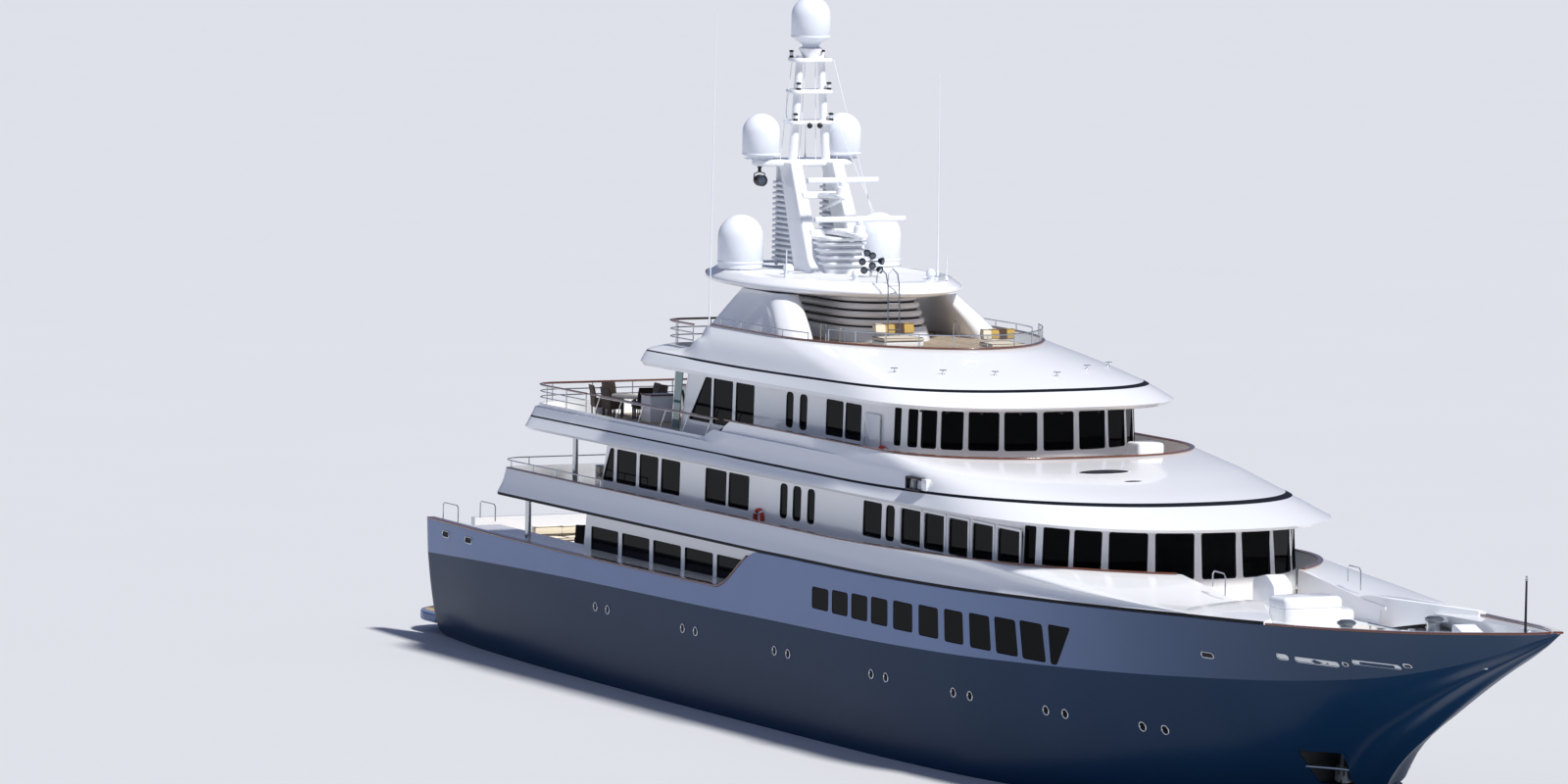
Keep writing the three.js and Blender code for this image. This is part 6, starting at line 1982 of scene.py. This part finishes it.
# Hatches let into the bridge deck's brow; columns: x, y, half-breadth, half-length
HATCHES = ((9.0, -0.8, 0.95, 0.34), (10.6, -0.6, 0.34, 0.13))
PAD_EYES = ((0.4, -4.1), (1.6, -2.9), (2.3, -1.3), (2.6, 0.9), (1.6, 2.6), (0.4, 4.1))
# The sidelights' boxes, each behind a white fairing; columns: fore and aft, across, upright, finish
SIDELIGHT = ((5.0, 5.07, 5.4, 6.08, 9.12, 9.5, BLACK),
             (5.0, 5.97, 5.4, 5.88, 9.12, 9.5, BLACK),
             (5.0, 5.97, 5.8, 6.08, 9.08, 9.14, BLACK),
             (5.0, 5.97, 5.6, 6.08, 9.46, 9.52, BLACK),
             (5.95, 6.3, 5.3, 5.98, 9.12, 9.5, WHITE))
SIDELIGHT_LENS = ((0, 0), (0.09, 0), (0.09, 0.05), (0.075, 0.06), (0.075, 0.22), (0.09, 0.23), (0.09, 0.28),
                  (0, 0.28))
LIFEBUOYS = ((0.7, 4.68, 9.75), (-7.6, 5.04, 6.85))


def build_trim():
    bridge, sun = surface_of("bridge_deck_shell"), surface_of("sun_deck_shell")
    form = Form()
    for x, y, long, wide in HATCHES:
        rings = []
        for size, out in ((1.03, -0.05), (1.03, 0.006), (1.0, 0.008), (0.97, 0.004)):
            spots = (bridge(x + wide * size * math.cos(a), y + long * size * math.sin(a))
                     for a in turns(32))
            rings.append([place + normal * out for place, normal in spots])
        form.loft(rings, WHITE, caps=(WHITE, BLACK))
    for x, y in PAD_EYES:
        place, normal = sun(x, y)
        form.turned(place, ((0, -0.02), (0.05, 0), (0.04, 0.02), (0.025, 0.03), (0.025, 0.13), (0, 0.14)),
                    STEEL, 12, normal)
        tip, arm = place + normal * 0.13, Vector((0.06, 0.1, 0))
        form.tube([tip - arm, tip, tip + arm], 0.022, STEEL, 8)
    make(form, "brow_fittings", slot="steel")

    form = Form()
    for side in BOTH:
        for x0, x1, y0, y1, z0, z1, finish in SIDELIGHT:
            low, high = sorted((side * y0, side * y1))
            form.block((x0, low, z0), (x1, high, z1), finish, 0.02, 0.008)
        form.turned((5.5, side * 5.96, 9.14), SIDELIGHT_LENS, "dark_lens", 16)
    make(form, "sidelights", slot="black_paint")
    # Lifebuoys on the deckhouses' walls, in orange covers with white straps
    buoys = Form()
    for x, y, z in LIFEBUOYS:
        for side in (-1, 1):
            def round_at(a):
                return (x + 0.27 * math.cos(a), side * y, z + 0.27 * math.sin(a))
            buoys.tube([round_at(a) for a in turns(28)], 0.075, "orange_cover", 12, closed=True)
            for a in (math.pi / 4 + math.pi / 2 * s for s in range(4)):
                buoys.tube([round_at(a - 0.12), round_at(a + 0.12)], 0.082, GELCOAT, 12)
    make(buoys, "lifebuoys", slot="cushion")
    # Wiper brackets under the sun deck's brim, over the wheelhouse windows
    brackets = []
    for heading in (-58, -47, -33.5, -18, 0, 18, 33.5, 47, 58):
        x, y = wall_point(HOUSES["bridge"], heading, 11.4, -0.02)
        way = Vector((x + 0.1, y)).normalized()
        brackets.append([(x, y, 11.42), (x + way.x * 0.22, y + way.y * 0.22, 11.4)])
    grown("wiper_brackets", "moulding", brackets, slot="black_paint", width=0.1, height=0.07,
          finish=BLACK)


# The stage

HORIZON = 1500  # half the floor's side, in model metres
# The camera as the photo has it: position in model metres, angles in degrees, lens in millimetres
CAMERA = {"at": (129.26, -70.63, 18.63), "azimuth": 62.74, "elevation": 4.98, "roll": 0.97403,
          "lens": 200.6, "sensor": 36, "reach": 4000}


def build_stage(light):
    scene = bpy.context.scene
    mesh = bpy.data.meshes.new("floor")
    mesh.from_pydata([(x * HORIZON, y * HORIZON, 0) for x, y in ((-1, -1), (1, -1), (1, 1), (-1, 1))], [],
                     [(0, 1, 2, 3)])
    # Matt painted studio floor, with the faintest unevenness
    surface("studio_floor", linear("c6c8cb"), 0.9, 0.01, 6.0, Specular_IOR_Level=0.2)
    mesh.materials.append(MATERIALS["studio_floor"])
    placed("floor", mesh)

    world = bpy.data.worlds.new("studio")
    world.use_nodes = True
    sky = world.node_tree.nodes["Background"].inputs
    sky["Color"].default_value = (*light.sky_colour, 1)
    sky["Strength"].default_value = light.sky_strength
    scene.world = world
    for name, way, strength, colour, soft in (
            ("key", (0.66, 0.22, 1.0), light.key_strength, (1.0, 0.97, 0.93), 6),
            ("fill", (0.2, -1.0, 0.5), light.fill_strength, (0.8, 0.88, 1.0), 60)):
        lamp = bpy.data.lights.new(name, "SUN")
        lamp.energy, lamp.color, lamp.angle = strength, colour, math.radians(soft)
        placed(name, lamp).rotation_euler = Vector(way).to_track_quat("Z", "Y").to_euler()

    azimuth, elevation, roll = (math.radians(CAMERA[key]) for key in ("azimuth", "elevation", "roll"))
    right = Vector((math.cos(azimuth), math.sin(azimuth), 0))
    back = Vector((math.cos(elevation) * math.sin(azimuth), -math.cos(elevation) * math.cos(azimuth),
                   math.sin(elevation)))
    up = back.cross(right)
    axes = (right * math.cos(roll) + up * math.sin(roll), up * math.cos(roll) - right * math.sin(roll),
            back)
    eye = bpy.data.cameras.new("camera")
    eye.lens, eye.sensor_width, eye.clip_end = CAMERA["lens"], CAMERA["sensor"], CAMERA["reach"]
    camera = placed("camera", eye)
    camera.matrix_world = Matrix(axes).transposed().to_4x4()
    camera.location = CAMERA["at"]
    scene.camera = camera
    scene.view_settings.view_transform = "Standard"


# The add-on

def colour_of(name, description, value):
    return FloatVectorProperty(name=name, description=description, subtype="COLOR", default=linear(value),
                               min=0, max=1)


def length_of(name, description, value):
    return FloatProperty(name=name, description=description, default=value, min=0.001, unit="LENGTH")


class YachtFinish(bpy.types.PropertyGroup):
    white_paint: colour_of("White paint", "Superstructure and deckhouses", "f4f6f9")
    # The hull paint is darker than the real paint: painted shade and a painted reflection of dark water
    hull_paint: colour_of("Hull paint", "Topsides below the knuckle", "113150")
    # The band paint is lightened by a painted reflection of the sky
    band_paint_and_painted_sheen: colour_of("Band paint", "Topsides above the knuckle", "7085ae")
    # The bow paint is painted shade of the flared bow
    bow_painted_shade: colour_of("Bow paint", "Topsides above the knuckle, at the bow", "1a3856")
    antifouling: colour_of("Antifouling", "Hull under water", "1c2230")
    teak: colour_of("Teak", "Laid decks", "b7a48c")
    cushion: colour_of("Cushions", "Canvas of the seats and pads", "e2d9c4")


class YachtSizes(bpy.types.PropertyGroup):
    window_recess: length_of("Window recess", "How deep the hull's panes sit", 0.05)
    window_radius: length_of("Window corners", "Radius of the deckhouse windows' corners", 0.1)
    rail_radius: length_of("Rail radius", "Radius of the steel rails", 0.022)
    louvre_pitch: length_of("Louvre pitch", "Step between the slats of the louvre house", 0.27)
    mast_slat_pitch: length_of("Mast slat pitch", "Step between the slats of the mast", 0.19)
    chairs: IntProperty(name="Chairs", description="Chairs round the dining table", default=8, min=2,
                        max=12)


class YachtLight(bpy.types.PropertyGroup):
    sky_colour: colour_of("Sky colour", "Light from all round", "b0c2f2")
    sky_strength: FloatProperty(name="Sky strength", description="Light from all round", default=0.32,
                                min=0)
    key_strength: FloatProperty(name="Key strength", description="Sun from ahead and to port", default=4.55,
                                min=0)
    fill_strength: FloatProperty(name="Fill strength", description="Soft light from starboard",
                                 default=0.08, min=0)


class YACHT_OT_finishes(bpy.types.Operator):
    """Makes every material and node tree that the ship's pieces use"""
    bl_idname = "yacht.finishes"
    bl_label = "Finishes"

    def execute(self, context):
        make_materials(context.scene.yacht_finish)
        make_trees()
        return {"FINISHED"}


class YACHT_OT_hull(bpy.types.Operator):
    """Builds the hull with its windows, fittings and cap rails"""
    bl_idname = "yacht.hull"
    bl_label = "Hull"

    def execute(self, context):
        build_hull(context.scene.yacht_sizes)
        return {"FINISHED"}


class YACHT_OT_decks(bpy.types.Operator):
    """Builds the upper, bridge and sun decks with their bulwarks and stripes"""
    bl_idname = "yacht.decks"
    bl_label = "Decks"

    def execute(self, context):
        build_decks()
        return {"FINISHED"}


class YACHT_OT_houses(bpy.types.Operator):
    """Builds the three deckhouses with their windows and panes"""
    bl_idname = "yacht.houses"
    bl_label = "Deckhouses"

    def execute(self, context):
        build_houses(context.scene.yacht_sizes)
        return {"FINISHED"}


class YACHT_OT_doors(bpy.types.Operator):
    """Builds the sliding doors of the saloons and the wheelhouse"""
    bl_idname = "yacht.doors"
    bl_label = "Doors"

    def execute(self, context):
        build_doors()
        return {"FINISHED"}


class YACHT_OT_top(bpy.types.Operator):
    """Builds the louvre house, the arches and the hardtop with its fittings"""
    bl_idname = "yacht.top"
    bl_label = "Hardtop"

    def execute(self, context):
        build_top(context.scene.yacht_sizes)
        return {"FINISHED"}


class YACHT_OT_domes(bpy.types.Operator):
    """Builds the five domes"""
    bl_idname = "yacht.domes"
    bl_label = "Domes"

    def execute(self, context):
        build_domes()
        return {"FINISHED"}


class YACHT_OT_mast(bpy.types.Operator):
    """Builds the mast with its slats, radars, searchlight and whip aerials"""
    bl_idname = "yacht.mast"
    bl_label = "Mast"

    def execute(self, context):
        build_mast(context.scene.yacht_sizes)
        return {"FINISHED"}


class YACHT_OT_rails(bpy.types.Operator):
    """Builds the steel rails and the windscreen"""
    bl_idname = "yacht.rails"
    bl_label = "Rails"

    def execute(self, context):
        build_rails(context.scene.yacht_sizes)
        return {"FINISHED"}


class YACHT_OT_furniture(bpy.types.Operator):
    """Builds the seats, pads, table, chairs and cabinets"""
    bl_idname = "yacht.furniture"
    bl_label = "Furniture"

    def execute(self, context):
        build_furniture(context.scene.yacht_sizes)
        return {"FINISHED"}


class YACHT_OT_foredeck(bpy.types.Operator):
    """Builds the foredeck's locker, hood, windlasses, bollards and anchors"""
    bl_idname = "yacht.foredeck"
    bl_label = "Foredeck"

    def execute(self, context):
        build_foredeck()
        return {"FINISHED"}


class YACHT_OT_stern(bpy.types.Operator):
    """Builds the swim platform, the garage door, the pillars and the underwater gear"""
    bl_idname = "yacht.stern"
    bl_label = "Stern"

    def execute(self, context):
        build_stern()
        return {"FINISHED"}


class YACHT_OT_trim(bpy.types.Operator):
    """Sets the small fittings on the finished decks"""
    bl_idname = "yacht.trim"
    bl_label = "Trim"

    def execute(self, context):
        build_trim()
        return {"FINISHED"}


class YACHT_OT_stage(bpy.types.Operator):
    """Sets up the floor, the lights and the camera"""
    bl_idname = "yacht.stage"
    bl_label = "Stage"

    def execute(self, context):
        build_stage(context.scene.yacht_light)
        return {"FINISHED"}


OPERATORS = (YACHT_OT_finishes, YACHT_OT_hull, YACHT_OT_decks, YACHT_OT_houses, YACHT_OT_doors,
             YACHT_OT_top, YACHT_OT_domes, YACHT_OT_mast, YACHT_OT_rails, YACHT_OT_furniture,
             YACHT_OT_foredeck, YACHT_OT_stern, YACHT_OT_trim, YACHT_OT_stage)
GROUPS = (("yacht_finish", YachtFinish), ("yacht_sizes", YachtSizes), ("yacht_light", YachtLight))


class YACHT_PT_panel(bpy.types.Panel):
    """Lists the ship's sizes, colours and building steps"""
    bl_idname = "YACHT_PT_panel"
    bl_label = "Motor Yacht"
    bl_space_type = "VIEW_3D"
    bl_region_type = "UI"
    bl_category = "Yacht"

    def draw(self, context):
        for attribute, kind in GROUPS:
            column = self.layout.column()
            for name in kind.__annotations__:
                column.prop(getattr(context.scene, attribute), name)
        for operator in OPERATORS:
            self.layout.operator(operator.bl_idname)


def register():
    for attribute, kind in GROUPS:
        bpy.utils.register_class(kind)
        setattr(bpy.types.Scene, attribute, PointerProperty(type=kind))
    for kind in (*OPERATORS, YACHT_PT_panel):
        bpy.utils.register_class(kind)


def unregister():
    for kind in reversed((*OPERATORS, YACHT_PT_panel)):
        bpy.utils.unregister_class(kind)
    for attribute, kind in reversed(GROUPS):
        delattr(bpy.types.Scene, attribute)
        bpy.utils.unregister_class(kind)


def main():
    register()
    for operator in OPERATORS:
        group, name = operator.bl_idname.split(".")
        getattr(getattr(bpy.ops, group), name)()


if __name__ == "__main__":
    main()
